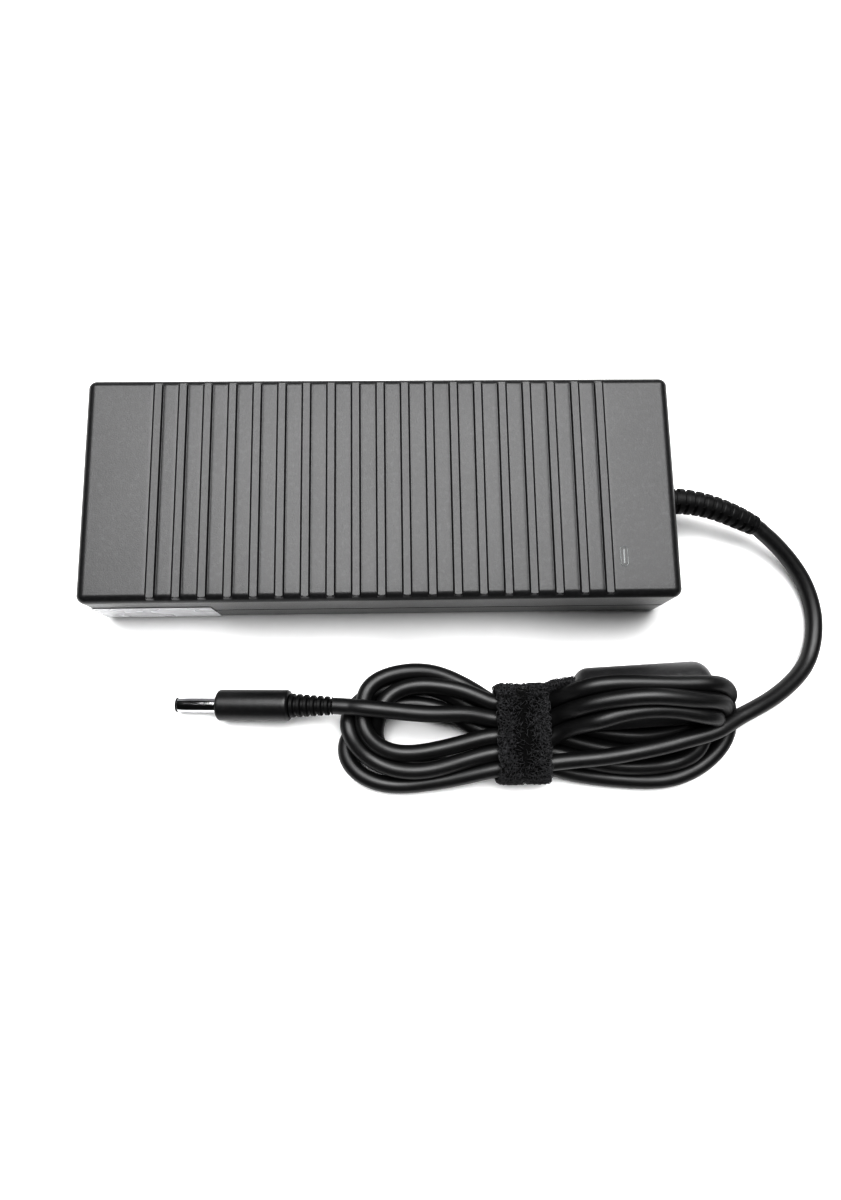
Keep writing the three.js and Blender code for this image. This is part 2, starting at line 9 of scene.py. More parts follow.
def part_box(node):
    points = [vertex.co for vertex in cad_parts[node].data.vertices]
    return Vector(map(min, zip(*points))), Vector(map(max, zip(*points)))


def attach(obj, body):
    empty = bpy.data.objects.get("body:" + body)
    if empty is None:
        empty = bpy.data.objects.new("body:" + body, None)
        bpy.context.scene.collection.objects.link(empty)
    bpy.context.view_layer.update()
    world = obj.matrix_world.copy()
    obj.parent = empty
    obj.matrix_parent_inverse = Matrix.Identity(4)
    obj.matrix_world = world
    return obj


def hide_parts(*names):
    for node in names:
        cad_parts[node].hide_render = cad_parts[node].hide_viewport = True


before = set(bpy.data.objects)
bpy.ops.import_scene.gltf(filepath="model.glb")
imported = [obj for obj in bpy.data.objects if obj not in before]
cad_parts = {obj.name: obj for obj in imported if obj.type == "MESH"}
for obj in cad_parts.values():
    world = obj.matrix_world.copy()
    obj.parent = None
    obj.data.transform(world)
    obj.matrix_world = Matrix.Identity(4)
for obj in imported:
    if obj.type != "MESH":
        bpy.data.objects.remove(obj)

bl_info = {
    "name": "Laptop Power Adapter",
    "version": (1, 0, 0),
    "blender": (4, 5, 0),
    "location": "3D View > Sidebar > Adapter",
    "description": "Builds a ribbed power adapter with its bundled cord, strap and barrel plug",
    "category": "Add Mesh",
}

# Lengths in this file are millimetres until add_piece() puts a mesh into the scene in metres.
MM = 0.001
TURN = 2 * math.pi
UP = np.array([0.0, 0.0, 1.0])


def node_span(node):
    """Lowest and highest corner of a CAD node in millimetres."""
    low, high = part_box(node)
    return np.array(low) / MM, np.array(high) / MM


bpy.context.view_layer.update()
TOP_LOW, _ = node_span("top_cover")
BASE_LOW, BASE_HIGH = node_span("bottom_cover")
FERRITE_LOW, FERRITE_HIGH = node_span("ferrite_cover")
STRAP_LOW, STRAP_HIGH = node_span("hank_strap")
LENS_LOW, LENS_HIGH = node_span("led_lens")

HALF_LENGTH, HALF_WIDTH = 85.0, 33.0
CROWN = 26.0                      # top face between the ribs
SEAM_TOP, SEAM_BASE = TOP_LOW[2], 11.45
LIP_TOP = BASE_HIGH[2]            # upper end of the tongue that keys the two covers
WALL = 2.2
END_CORNER = 2.6                  # rounding of the case's four upright corners
RIB_REACH = (32.2, 31.3)          # how far the ribs run towards the cord's side and the far side
RIB_CORNER = 0.5                  # rounding of a rib's outline
EXIT_POINT = np.array([85.0, -1.1, 12.0])
FERRITE_CENTRE = np.append((FERRITE_LOW + FERRITE_HIGH)[:2] / 2, FERRITE_HIGH[2] / 2)
FERRITE_RADIUS = FERRITE_HIGH[2] / 2
FERRITE_HALF = 19.8
FERRITE_TILT = math.radians(2.8)
FERRITE_AXIS = np.array([math.cos(FERRITE_TILT), math.sin(FERRITE_TILT), 0.0])


# ------------------------------------------------------------------ settings

class AdapterCaseSettings(bpy.types.PropertyGroup):
    """Sizes and finish of the two-part case."""

    rib_height: FloatProperty(
        name="Rib height", description="How far a rib stands above the top face",
        default=0.5 * MM, min=0.0, max=0.5 * MM, unit="LENGTH")
    rib_width: FloatProperty(
        name="Rib width", description="Width of one rib", default=2.4 * MM, unit="LENGTH")
    rib_count: IntProperty(
        name="Ribs", description="Number of ribs across the top face", default=19, min=1)
    top_edge: FloatProperty(
        name="Top edge radius", description="Rounding of the long upper edges",
        default=2.4 * MM, unit="LENGTH")
    base_edge: FloatProperty(
        name="Lower edge radius", description="Rounding of the lower edges",
        default=1.5 * MM, unit="LENGTH")
    colour: FloatVectorProperty(
        name="Plastic colour", description="Base colour of the moulded case",
        default=(0.010, 0.010, 0.0105), size=3, subtype="COLOR", min=0, max=1)


class AdapterCordSettings(bpy.types.PropertyGroup):
    """Sizes and finish of the output cord and what is on it."""

    diameter: FloatProperty(
        name="Cord diameter", description="Outside diameter of the output cord",
        default=4.8 * MM, unit="LENGTH")
    colour: FloatVectorProperty(
        name="Jacket colour", description="Base colour of the cord's jacket",
        default=(0.006, 0.006, 0.0063), size=3, subtype="COLOR", min=0, max=1)
    strap_fibres: IntProperty(
        name="Strap loops", description="Number of loose loops on the strap's face",
        default=4200, min=0, max=5000)


class AdapterStageSettings(bpy.types.PropertyGroup):
    """Light and floor round the object."""

    key_power: FloatProperty(
        name="Overhead light", description="Power of the large light above",
        default=46.0, min=0.0, unit="POWER")
    fill_power: FloatProperty(
        name="Rear light", description="Power of the light behind the object",
        default=1.0, min=0.0, unit="POWER")
    front_power: FloatProperty(
        name="Front light", description="Power of the light that lifts the shadow in front",
        default=18.0, min=0.0, unit="POWER")
    surround: FloatProperty(
        name="Surround", description="Brightness of the room all round",
        default=0.03, min=0.0)
    contrast: FloatProperty(
        name="Contrast", description="Display gamma; lower is harder",
        default=0.62, min=0.3, max=2.0)
    exposure: FloatProperty(
        name="Exposure", description="Display exposure in stops", default=-0.04)
    lens: FloatProperty(
        name="Focal length", description="Camera focal length", default=24.0, unit="CAMERA")


# ------------------------------------------------------------------ shader maths

class Wire:
    """A shader socket that can be used in a Python expression; each operator adds a Math node."""

    def __init__(self, finish, socket):
        self.finish, self.socket = finish, socket

    def _math(self, operation, first, second):
        return self.finish.node("ShaderNodeMath", {"operation": operation}, {0: first, 1: second})

    def __add__(self, other):
        return self._math("ADD", self, other)

    __radd__ = __add__

    def __sub__(self, other):
        return self._math("SUBTRACT", self, other)

    def __rsub__(self, other):
        return self._math("SUBTRACT", other, self)

    def __mul__(self, other):
        return self._math("MULTIPLY", self, other)

    __rmul__ = __mul__


class Finish:
    """A material under construction round one Principled shader."""

    def __init__(self, name, **constants):
        self.material = bpy.data.materials.new(name)
        self.material.use_nodes = True
        self.tree = self.material.node_tree
        self.tree.nodes.clear()
        self.output = self.tree.nodes.new("ShaderNodeOutputMaterial")
        self.shader = self.tree.nodes.new("ShaderNodeBsdfPrincipled")
        self.tree.links.new(self.shader.outputs[0], self.output.inputs[0])
        for socket, value in constants.items():
            self.shader.inputs[socket.replace("_", " ")].default_value = value

    def node(self, kind, settings=None, inputs=None, output=0):
        """Adds a node of any type: settings first, then values and links of its sockets."""
        node = self.tree.nodes.new(kind)
        for key, value in (settings or {}).items():
            setattr(node, key, value)
        for socket, value in (inputs or {}).items():
            if isinstance(value, Wire):
                self.tree.links.new(value.socket, node.inputs[socket])
            else:
                node.inputs[socket].default_value = value
        return Wire(self, node.outputs[output])

    def place(self, scale=(1, 1, 1), turn=(0, 0, 0), uv=None):
        """Object coordinates, or a UV map's, stretched and turned by a Mapping node."""
        if uv:
            source = self.node("ShaderNodeUVMap", {"uv_map": uv})
        else:
            source = self.node("ShaderNodeTexCoord", output=3)
        return self.node("ShaderNodeMapping", {}, {"Vector": source, "Scale": scale,
                                                   "Rotation": turn})

    def noise(self, scale, detail=2.0, rough=0.5, at=None):
        """Noise of that many features a metre, 0 to 1."""
        inputs = {"Scale": scale, "Detail": detail, "Roughness": rough}
        inputs["Vector"] = at or self.place()
        return self.node("ShaderNodeTexNoise", {}, inputs)

    def cells(self, scale):
        """Distance pattern of scattered cells, that many a metre."""
        return self.node("ShaderNodeTexVoronoi", {}, {"Scale": scale, "Vector": self.place()})

    def span(self, value, low, high, to_low=0.0, to_high=1.0):
        """Takes low..high of a value to another range, held at the ends."""
        return self.node("ShaderNodeMapRange", {}, {0: value, 1: low, 2: high, 3: to_low,
                                                    4: to_high})

    def blend(self, factor, first, second):
        """Mixes two colours."""
        return self.node("ShaderNodeMix", {"data_type": "RGBA"},
                         {0: factor, 6: opaque(first), 7: opaque(second)}, output=2)

    def set(self, **links):
        """Joins patterns to the shader's sockets."""
        for socket, wire in links.items():
            self.tree.links.new(wire.socket, self.shader.inputs[socket.replace("_", " ")])
        return self

    def relief(self, height, depth):
        """A bump of that many millimetres from a height pattern."""
        return self.set(Normal=self.node("ShaderNodeBump", {}, {
            "Strength": 1.0, "Distance": depth * MM, "Height": height}))


def opaque(colour):
    """An RGBA value from an RGB one; a wire passes through."""
    return colour if isinstance(colour, Wire) or len(colour) == 4 else (*colour, 1.0)


def lighter(colour, factor):
    """A colour made lighter or darker by a factor."""
    return tuple(min(1.0, c * factor) for c in tuple(colour)[:3])


def textured_plastic(name, colour, grain=2600, rough=(0.36, 0.50), depth=0.035, **constants):
    """Spark-textured moulding: a fine even grain whose raised points carry a painted highlight,
    random lighter specks, faint flow mottling and rubbed patches.
    """
    finish = Finish(name, **constants)
    grain_height = finish.noise(grain, 3.0, 0.65)
    mottle = finish.noise(60, 3.0, 0.6)
    specks = finish.span(finish.noise(700, 3.0, 0.75), 0.5, 0.8)
    fine = finish.span(grain_height, 0.32, 0.68)
    rubbed = finish.span(finish.noise(22, 2.0, 0.5), 0.35, 0.7)
    colours = finish.blend(finish.span(mottle, 0.3, 0.7), lighter(colour, 0.85),
                           lighter(colour, 1.2))
    # Base colour: random lighter specks, plus a painted highlight on the grain's raised points
    # (the same pattern as its bump).
    finish.set(Base_Color=finish.blend(fine * 0.3 + specks * 0.7, colours, lighter(colour, 3.2)),
               Roughness=finish.span(fine * 0.6 + rubbed * 0.4, 0, 1, *rough))
    return finish.relief(grain_height, depth).material


def smooth_jacket(name, colour, uv="along", rough=(0.40, 0.52)):
    """Extruded cord jacket: drawn streaks along its length, dust and a faint waviness."""
    finish = Finish(name, Specular_IOR_Level=0.85)
    streaks = finish.noise(1.0, 2.0, 0.5, finish.place((90, 26, 1), uv=uv))
    dust = finish.noise(900, 2.0, 0.7)
    waves = finish.noise(140, 1.0, 0.5)
    finish.set(Base_Color=finish.blend(finish.span(dust, 0.45, 0.75), colour,
                                       lighter(colour, 1.6)),
               Roughness=finish.span(streaks * 0.7 + dust * 0.3, 0.3, 0.7, *rough))
    return finish.relief(waves * 0.6 + streaks * 0.4, 0.05).material


def rubber(name, colour, rough=(0.42, 0.58)):
    """Soft moulded rubber with a dusty, slightly orange-peeled skin."""
    finish = Finish(name, Specular_IOR_Level=0.4)
    peel = finish.noise(1400, 2.0, 0.6)
    dust = finish.noise(260, 3.0, 0.65)
    finish.set(Base_Color=finish.blend(finish.span(dust, 0.45, 0.8), colour, lighter(colour, 1.9)),
               Roughness=finish.span(dust, 0.3, 0.7, *rough))
    return finish.relief(peel, 0.03).material


def looped_fabric(name, colour):
    """Hook-and-loop webbing: clumps of loops over a woven ground, with a soft sheen; painted shade
    darkens the low ground between loops and a painted highlight lightens their tops.
    """
    finish = Finish(name, Sheen_Weight=0.25, Sheen_Roughness=0.5, Specular_IOR_Level=0.2)
    loops = finish.cells(1900)
    clumps = finish.noise(420, 3.0, 0.7)
    weave = finish.node("ShaderNodeTexWave", {"wave_type": "BANDS", "bands_direction": "X"},
                        {"Scale": 160.0, "Distortion": 2.0, "Vector": finish.place()})
    pile = loops * 0.6 + clumps * 0.4
    # Base colour follows the pile's height: painted shade where it is low, painted highlight where
    # it is high.
    finish.set(Base_Color=finish.blend(finish.span(pile, 0.2, 0.8), lighter(colour, 0.5),
                                       lighter(colour, 2.4)),
               Roughness=finish.span(clumps, 0.3, 0.7, 0.82, 0.97))
    return finish.relief(pile + weave * 0.15, 0.35).material


def nylon_pile(name, colour):
    """Loose nylon fibres: each a little lighter or duller than the next."""
    finish = Finish(name, Specular_IOR_Level=0.5)
    each = finish.cells(1600)
    finish.set(Base_Color=finish.blend(each, lighter(colour, 0.4), lighter(colour, 2.0)),
               Roughness=finish.span(each, 0.1, 0.8, 0.35, 0.6))
    return finish.material


def polished_metal(name, colour, rough=(0.08, 0.2), direction=(1, 1, 1)):
    """Plated or turned metal with fine handling scratches along one direction."""
    finish = Finish(name, Metallic=1.0)
    scratches = finish.noise(700, 4.0, 0.7, finish.place(direction))
    tarnish = finish.noise(180, 2.0, 0.5)
    finish.set(Base_Color=finish.blend(finish.span(tarnish, 0.35, 0.75), colour,
                                       lighter(colour, 0.72)),
               Roughness=finish.span(scratches, 0.3, 0.75, *rough))
    return finish.relief(scratches, 0.006).material


def printed_film(name, colour, rough=(0.3, 0.42)):
    """Sticker film: faint fibres, slight mottling and scuffs, with no print."""
    finish = Finish(name)
    fibres = finish.noise(260, 4.0, 0.7, finish.place((1, 0.35, 1)))
    scuffs = finish.noise(70, 2.0, 0.5)
    finish.set(Base_Color=finish.blend(finish.span(fibres, 0.3, 0.7), lighter(colour, 0.92),
                                       lighter(colour, 1.06)),
               Roughness=finish.span(scuffs, 0.35, 0.7, *rough))
    return finish.relief(fibres, 0.01).material


def clear_plastic(name, colour):
    """Clear moulded plastic with a little haze."""
    finish = Finish(name, Transmission_Weight=0.35, IOR=1.49)
    haze = finish.noise(500, 2.0, 0.5)
    finish.set(Base_Color=finish.blend(haze, colour, lighter(colour, 1.4)),
               Roughness=finish.span(haze, 0.3, 0.7, 0.06, 0.16))
    return finish.relief(haze, 0.01).material


def wound_wire(name, colour, pitch=0.9):
    """Close turns of enamelled wire or tape: bands round the part, with painted shade darkening
    the grooves between turns.
    """
    finish = Finish(name, Coat_Roughness=0.2)
    bands = finish.node("ShaderNodeTexWave", {"bands_direction": "X"},
                        {"Scale": 0.31 / (pitch * MM), "Distortion": 0.6,
                         "Vector": finish.place()})
    age = finish.noise(120, 2.0, 0.5)
    # Painted shade: the base colour drops to about a third of the wire's colour in the grooves
    # between turns.
    finish.set(Base_Color=finish.blend(bands, lighter(colour, 0.35), colour),
               Roughness=finish.span(age, 0.3, 0.7, 0.22, 0.4))
    return finish.relief(bands, 0.25).material


def etched_board(name, colour):
    """Circuit board: green laminate with straight copper runs under the mask and bare pads."""
    finish = Finish(name)
    runs = finish.node("ShaderNodeTexBrick", {"offset": 0.37},
                       {"Scale": 180.0, "Mortar Size": 0.06, "Vector": finish.place()}, output=1)
    pads = finish.span(finish.cells(240), 0.10, 0.14, 1.0, 0.0)
    laminate = finish.blend(runs, colour, lighter(colour, 1.8))
    finish.set(Base_Color=finish.blend(pads, laminate, (0.42, 0.40, 0.34)),
               Roughness=finish.span(finish.noise(90), 0.3, 0.7, 0.3, 0.5), Metallic=pads * 0.8)
    return finish.relief(runs + pads, 0.05).material


# ------------------------------------------------------------------ surfaces

def grid_faces(rows, columns, wrap_rows=False, wrap_columns=True):
    """Quads of a grid of rows and columns, closed on itself where it wraps."""
    row = np.arange(rows if wrap_rows else rows - 1)[:, None]
    column = np.arange(columns if wrap_columns else columns - 1)[None, :]
    next_row, next_column = (row + 1) % rows, (column + 1) % columns
    corners = [row * columns + column, next_row * columns + column,
               next_row * columns + next_column, row * columns + next_column]
    return np.stack(np.broadcast_arrays(*corners), -1).reshape(-1, 4)


def signed_volume(points, faces):
    """Volume inside the quads, positive where they face outwards."""
    a, b, c, d = (points[faces[:, k]] for k in range(4))
    return (np.einsum("ij,ij->i", a, np.cross(b, c)).sum()
            + np.einsum("ij,ij->i", a, np.cross(c, d)).sum())


def add_piece(name, points, faces, finish, replaces=(), sharp=38, rings=(), uv=None):
    """Puts a closed surface into the scene; rings are index lists of end caps."""
    outward = signed_volume(points, faces) > 0
    order = slice(None) if outward else slice(None, None, -1)
    polygons = [list(map(int, face)) for face in faces[:, order]]
    polygons += [[int(i) for i in ring][order] for ring in rings]
    mesh = bpy.data.meshes.new(name)
    mesh.from_pydata((points * MM).tolist(), [], polygons)
    if uv is not None:
        layer = mesh.uv_layers.new(name="along")
        flat = np.zeros((len(mesh.loops), 2), np.float32)
        flat[:uv.shape[0] * 4] = uv[:, order].reshape(-1, 2)
        layer.data.foreach_set("uv", flat.ravel())
    mesh.shade_smooth()
    mesh.set_sharp_from_angle(angle=math.radians(sharp))
    mesh.materials.append(finish)
    piece = bpy.data.objects.new(name, mesh)
    bpy.context.scene.collection.objects.link(piece)
    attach(piece, "root")
    if replaces:
        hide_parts(*replaces)


def unit(vectors):
    """Vectors scaled to length one."""
    return vectors / np.linalg.norm(vectors, axis=-1, keepdims=True)


def arc_length(path):
    """Distance along a path at each of its points."""
    return np.r_[0, np.cumsum(np.linalg.norm(np.diff(path, axis=0), axis=1))]


def smoothstep(value, low, high):
    """0 below low, 1 above high and a smooth cubic between."""
    t = np.clip((value - low) / (high - low), 0, 1)
    return t * t * (3 - 2 * t)


def through(points, steps):
    """A Catmull-Rom curve through points, with that many steps between each pair."""
    p = np.asarray(points, float)
    p = np.vstack([2 * p[0] - p[1], p, 2 * p[-1] - p[-2]])
    a, b, c, d = p[:-3], p[1:-2], p[2:-1], p[3:]
    t = np.linspace(0, 1, steps, endpoint=False)[None, :, None]
    a, b, c, d = (q[:, None, :] for q in (a, b, c, d))
    curve = 0.5 * (2 * b + (c - a) * t + (2 * a - 5 * b + 4 * c - d) * t ** 2
                   + (3 * b - a - 3 * c + d) * t ** 3)
    return np.vstack([curve.reshape(-1, 3), p[-2]])


def evenly(path, step):
    """The same path with its points a fixed distance apart."""
    along = arc_length(path)
    at = np.linspace(0, along[-1], int(round(along[-1] / step)) + 1)
    return np.stack([np.interp(at, along, path[:, k]) for k in range(3)], 1)


def swept(path, radius):
    """A round or notched profile carried along a path.

    Each point is the path's point plus radius(along, angle) times the unit vector that stands at
    that angle from 'up' in the plane square to the path. Angle 0 is the upper side.
    """
    ahead = unit(np.gradient(path, axis=0))
    side = unit(np.cross(ahead, UP))
    above = np.cross(side, ahead)
    angles = np.linspace(0, TURN, radius.shape[1], endpoint=False)
    spoke = (np.cos(angles)[None, :, None] * above[:, None, :]
             + np.sin(angles)[None, :, None] * side[:, None, :])
    return (path[:, None, :] + radius[:, :, None] * spoke).reshape(-1, 3)


def capped(rows, columns):
    """End rings of a swept surface."""
    return [np.arange(columns)[::-1], (rows - 1) * columns + np.arange(columns)]


def turned(profile, sides, origin, axis):
    """A closed profile of (along, radius) pairs turned round an axis."""
    profile = np.asarray(profile, float)
    axis = unit(np.asarray(axis, float))
    side = unit(np.cross(axis, UP))
    above = np.cross(side, axis)
    angle = np.linspace(0, TURN, sides, endpoint=False)
    spoke = np.cos(angle)[:, None] * above + np.sin(angle)[:, None] * side
    return (origin + profile[:, 0, None, None] * axis
            + profile[:, 1, None, None] * spoke[None]).reshape(-1, 3)


def rounded_corner(corner, radius, start, end, steps=5):
    """Points of a quarter bend round a corner's centre, from one angle to another in degrees."""
    angle = np.radians(np.linspace(start, end, steps))
    return [(corner[0] + radius * math.cos(a), corner[1] + radius * math.sin(a)) for a in angle]


# ------------------------------------------------------------------ output cord

# Free cord from the case's strain relief, round its bend on the table and up to the bundle.
LEAD = [
    (115.2, -8.6, 8.5), (119.7, -12.0, 7.2), (124.1, -16.1, 5.8), (128.0, -20.7, 4.5),
    (130.9, -25.6, 3.5), (132.7, -31.0, 2.8), (133.3, -36.9, 2.45), (132.4, -43.1, 2.45),
    (130.0, -48.8, 3.0), (126.2, -53.4, 4.3), (121.0, -57.5, 6.1), (115.3, -61.0, 7.9),
    (110.0, -63.6, 9.4), (105.6, -65.6, 10.3),
]
# Middle of the strain relief, from inside the wall to where the free cord starts.
RELIEF = [(80.6, -1.1, 12.0), (86.0, -1.1, 12.0), (92.0, -1.3, 12.0), (99.0, -2.6, 11.7),
          (106.4, -5.0, 10.7), (114.7, -8.3, 8.7)]
# Each row is one strand's place and heading: x, y, z and degrees from +X. A turn of the bundle is
# a pass through the strap to the left, the left loop, a pass back and the right loop.
FERRITE_ROWS = [tuple(FERRITE_CENTRE + end * FERRITE_HALF * FERRITE_AXIS) + (2.8,)
                for end in (-1, 1)]
BUNDLE_TURNS = [
    [(96.0, -70.4, 12.4, 201), (85.2, -73.3, 12.8, 195), (72.5, -76.0, 11.8, 190),
     (60.0, -77.7, 9.8, 184),
     (47.8, -78.7, 8.3, 184), (33.2, -79.6, 6.6, 188),
     (4.0, -84.7, 2.4, 180), (-11.9, -73.2, 2.4, 91), (6.0, -60.7, 2.4, 0),
     (33.2, -67.5, 3.9, -22), (47.8, -75.3, 3.9, -16)],
    [(76.0, -80.1, 4.2, 8), (87.6, -77.6, 2.6, 36), (93.4, -73.2, 4.4, 66),
     (95.6, -66.6, 9.4, 98), (89.6, -65.0, 18.2, 172), (77.7, -64.3, 19.8, 180),
     (61.0, -65.9, 17.4, 197),
     (47.8, -70.8, 8.5, 197), (33.2, -75.2, 8.4, 194),
     (9.7, -80.3, 5.6, 180), (-8.8, -67.9, 4.4, 90), (8.0, -54.8, 2.8, 0),
     (33.2, -63.4, 3.9, -22), (47.8, -70.6, 3.9, -16)],
    [(66.5, -75.2, 3.6, -12), (86.0, -75.6, 2.6, 16), (98.6, -71.0, 2.8, 84),
     (98.4, -64.2, 11.0, 108), (89.6, -62.3, 21.2, 166), (76.0, -60.4, 23.8, 180),
     (60.8, -61.5, 20.4, 194),
     (47.8, -65.6, 8.8, 195), (33.2, -70.4, 8.4, 192),
     (5.4, -75.3, 7.0, 180), (-8.7, -63.8, 6.6, 90), (9.3, -51.5, 5.5, 0),
     (33.2, -60.8, 4.0, -12), (47.8, -61.3, 6.4, 3)],
    [*FERRITE_ROWS,
     (103.0, -67.4, 4.8, -92), (97.6, -78.4, 2.4, -135), (80.0, -84.0, 2.4, 182),
     (62.0, -81.9, 3.2, 172), (47.8, -80.0, 3.9, 176), (33.2, -78.9, 3.7, 182),
     (12.0, -79.1, 2.4, 180), (-4.1, -67.2, 2.4, 90), (14.5, -54.6, 5.6, 0),
     (33.2, -60.6, 8.2, -22), (47.8, -65.9, 4.2, -16)],
    [(76.0, -72.6, 3.2, -4), (90.0, -69.8, 2.4, 18), (97.6, -65.2, 4.4, 72),
     (98.0, -60.4, 12.4, 118), (86.0, -58.2, 20.2, 172), (70.0, -57.2, 20.7, 182),
     (58.2, -58.6, 17.4, 205),
     (47.8, -62.0, 8.9, 192), (33.2, -63.2, 8.8, 182),
     (15.0, -64.5, 11.2, 181), (1.0, -63.0, 11.9, 177),
     (-10.4, -61.7, 10.6, 176), (-14.45, -61.37, 9.9, 176)],
]
CORD_RADIUS = 2.4
CORD_STEP = 2.4                   # spacing of the points that settle against each other
STRAP_INSIDE = ((-80.1, 3.7), (-60.9, 8.7))   # where centre lines may pass through the strap
STRAP_MARGIN = 1.7                # how far beyond the strap's edges the strands stay squeezed
FERRITE_SHOULDER = 7.0            # length over which the ferrite's ends round off

# How strongly each round of settling pushes strands apart, pulls the cord home, resists a change
# of bend, straightens it and keeps its spacing.
PUSH, PULL_HOME, STIFFNESS, STRAIGHTENING, SPACING = 0.3, 0.012, 0.36, 0.02, 0.25


def headed(rows, step=1.0):
    """A curve through places with headings: cubic pieces whose ends point along the headings and
    whose slope in height follows the neighbouring rows."""
    rows = np.asarray(rows, float)
    place, heading = rows[:, :3], np.radians(rows[:, 3])
    ahead = np.stack([np.cos(heading), np.sin(heading), 0 * heading], 1)
    before, after = np.r_[place[:1], place[:-1]], np.r_[place[1:], place[-1:]]
    ahead[:, 2] = 0.6 * (after - before)[:, 2] / np.linalg.norm(after - before, axis=1)
    parts = []
    for k in range(len(rows) - 1):
        chord = np.linalg.norm(place[k + 1] - place[k])
        swing = abs((rows[k + 1, 3] - rows[k, 3] + 180) % 360 - 180)
        pull = chord * (1.15 if swing > 60 else 1.0)
        t = np.linspace(0, 1, max(2, int(chord * 1.1 / step)), endpoint=False)[:, None]
        parts.append((2 * t ** 3 - 3 * t ** 2 + 1) * place[k]
                     + (t ** 3 - 2 * t ** 2 + t) * pull * ahead[k]
                     + (3 * t ** 2 - 2 * t ** 3) * place[k + 1]
                     + (t ** 3 - t ** 2) * pull * ahead[k + 1])
    return np.vstack(parts + [place[-1:]])


def along_ferrite(points):
    """Distance along the ferrite's axis and across it, and the vector across."""
    offset = points - FERRITE_CENTRE
    along = offset @ FERRITE_AXIS
    across = offset - along[:, None] * FERRITE_AXIS
    return along, across


def settled(path, fixed, near_ferrite, rounds=400):
    """Lets the bundle settle: strands closer than a diameter push apart, the cord keeps its
    spacing and resists bending, and stays on the table, in the strap and off the ferrite."""
    home, points = path.copy(), path.copy()
    index = np.arange(len(points))
    gap = 2 * CORD_RADIUS + 0.05
    neighbours = np.abs(index[:, None] - index[None, :]) < int(gap * 2.2 / CORD_STEP) + 1
    rest = np.linalg.norm(np.diff(points, axis=0), axis=1).mean()
    free = ~(fixed | near_ferrite)
    for _ in range(rounds):
        apart = points[:, None] - points[None, :]
        distance = np.sqrt((apart ** 2).sum(2)) + 1e-9
        overlap = np.where(neighbours, 0, np.clip(gap - distance, 0, None))
        touching = np.maximum((overlap > 0).sum(1), 1)[:, None]
        pushed = (apart * (overlap / distance)[:, :, None]).sum(1)
        moved = points + pushed * PUSH / np.sqrt(touching)
        curl = np.zeros_like(moved)
        curl[1:-1] = (moved[:-2] + moved[2:]) / 2 - moved[1:-1]
        bend = np.zeros_like(moved)
        bend[2:-2] = (curl[1:-3] + curl[3:-1]) / 2 - curl[2:-2]
        moved += PULL_HOME * (home - moved) - STIFFNESS * bend + STRAIGHTENING * curl
        segment = np.diff(moved, axis=0)
        length = np.linalg.norm(segment, axis=1, keepdims=True)
        slack = (length - rest) / length * segment * SPACING
        moved[:-1] += slack
        moved[1:] -= slack
        moved[:, 2] = np.maximum(moved[:, 2], CORD_RADIUS)
        held = ((moved[:, 0] > STRAP_LOW[0] - STRAP_MARGIN)
                & (moved[:, 0] < STRAP_HIGH[0] + STRAP_MARGIN))
        moved[held, 1:] = np.clip(moved[held, 1:], *STRAP_INSIDE)
        along, across = along_ferrite(moved)
        beyond = along - np.clip(along, FERRITE_SHOULDER - FERRITE_HALF,
                                 FERRITE_HALF - FERRITE_SHOULDER)
        out = across + beyond[:, None] * FERRITE_AXIS
        reach = np.linalg.norm(out, axis=1, keepdims=True) + 1e-9
        inside = np.clip(FERRITE_RADIUS + CORD_RADIUS - reach, 0, None)
        moved += out / reach * inside * free[:, None]
        moved[fixed] = home[fixed]
        points = moved
    return points


def cord_route():
    """Centre line of the whole cord, from inside the strain relief to inside the plug's boot."""
    lead = through(LEAD, 8)
    rows = [row for turn in BUNDLE_TURNS for row in turn]
    join = headed([(*LEAD[-1], 204.0), rows[0]])
    path = evenly(np.vstack([lead[:-1], join[:-1], headed(rows)]), CORD_STEP)
    fixed = np.zeros(len(path), bool)
    fixed[:np.argmax(path[:, 0] < STRAP_HIGH[0] + 4)] = True
    fixed[-3:] = True
    along, across = along_ferrite(path)
    inside = (np.abs(along) < FERRITE_HALF + 2) & (np.linalg.norm(across, axis=1) < 0.6)
    span = np.flatnonzero(inside)
    index = np.arange(len(path))
    near = (index > span[0] - 6) & (index < span[-1] + 6)
    bundle = settled(path, fixed | inside, near)
    relief = through(RELIEF, 6)[6:-3]
    return through(np.vstack([evenly(relief, CORD_STEP)[:-1], bundle]), 3)


class ADAPTER_OT_output_cord(bpy.types.Operator):
    """Lay the output cord: free lead, four bundled turns and the plug's tail"""

    bl_idname = "adapter.output_cord"
    bl_label = "Output cord"

    def execute(self, context):
        settings = context.scene.adapter_cord
        route = cord_route()
        sides = 24
        radius = np.full((len(route), sides), settings.diameter / 2 / MM)
        along = arc_length(route) * MM
        u = np.repeat(np.stack([along[:-1], along[1:], along[1:], along[:-1]], 1), sides, 0)
        column = np.tile(np.arange(sides), len(route) - 1)
        v = np.stack([column, column, column + 1, column + 1], 1) / sides
        add_piece("output_cord", swept(route, radius), grid_faces(len(route), sides),
                  smooth_jacket("cord_jacket", settings.colour),
                  ("cord_lead", "cord_hank", "cord_tail", "cord_in_ferrite"),
                  rings=capped(len(route), sides), uv=np.stack([u, v], -1))
        context.scene["cord_route"] = (route * MM).ravel().tolist()
        return {"FINISHED"}


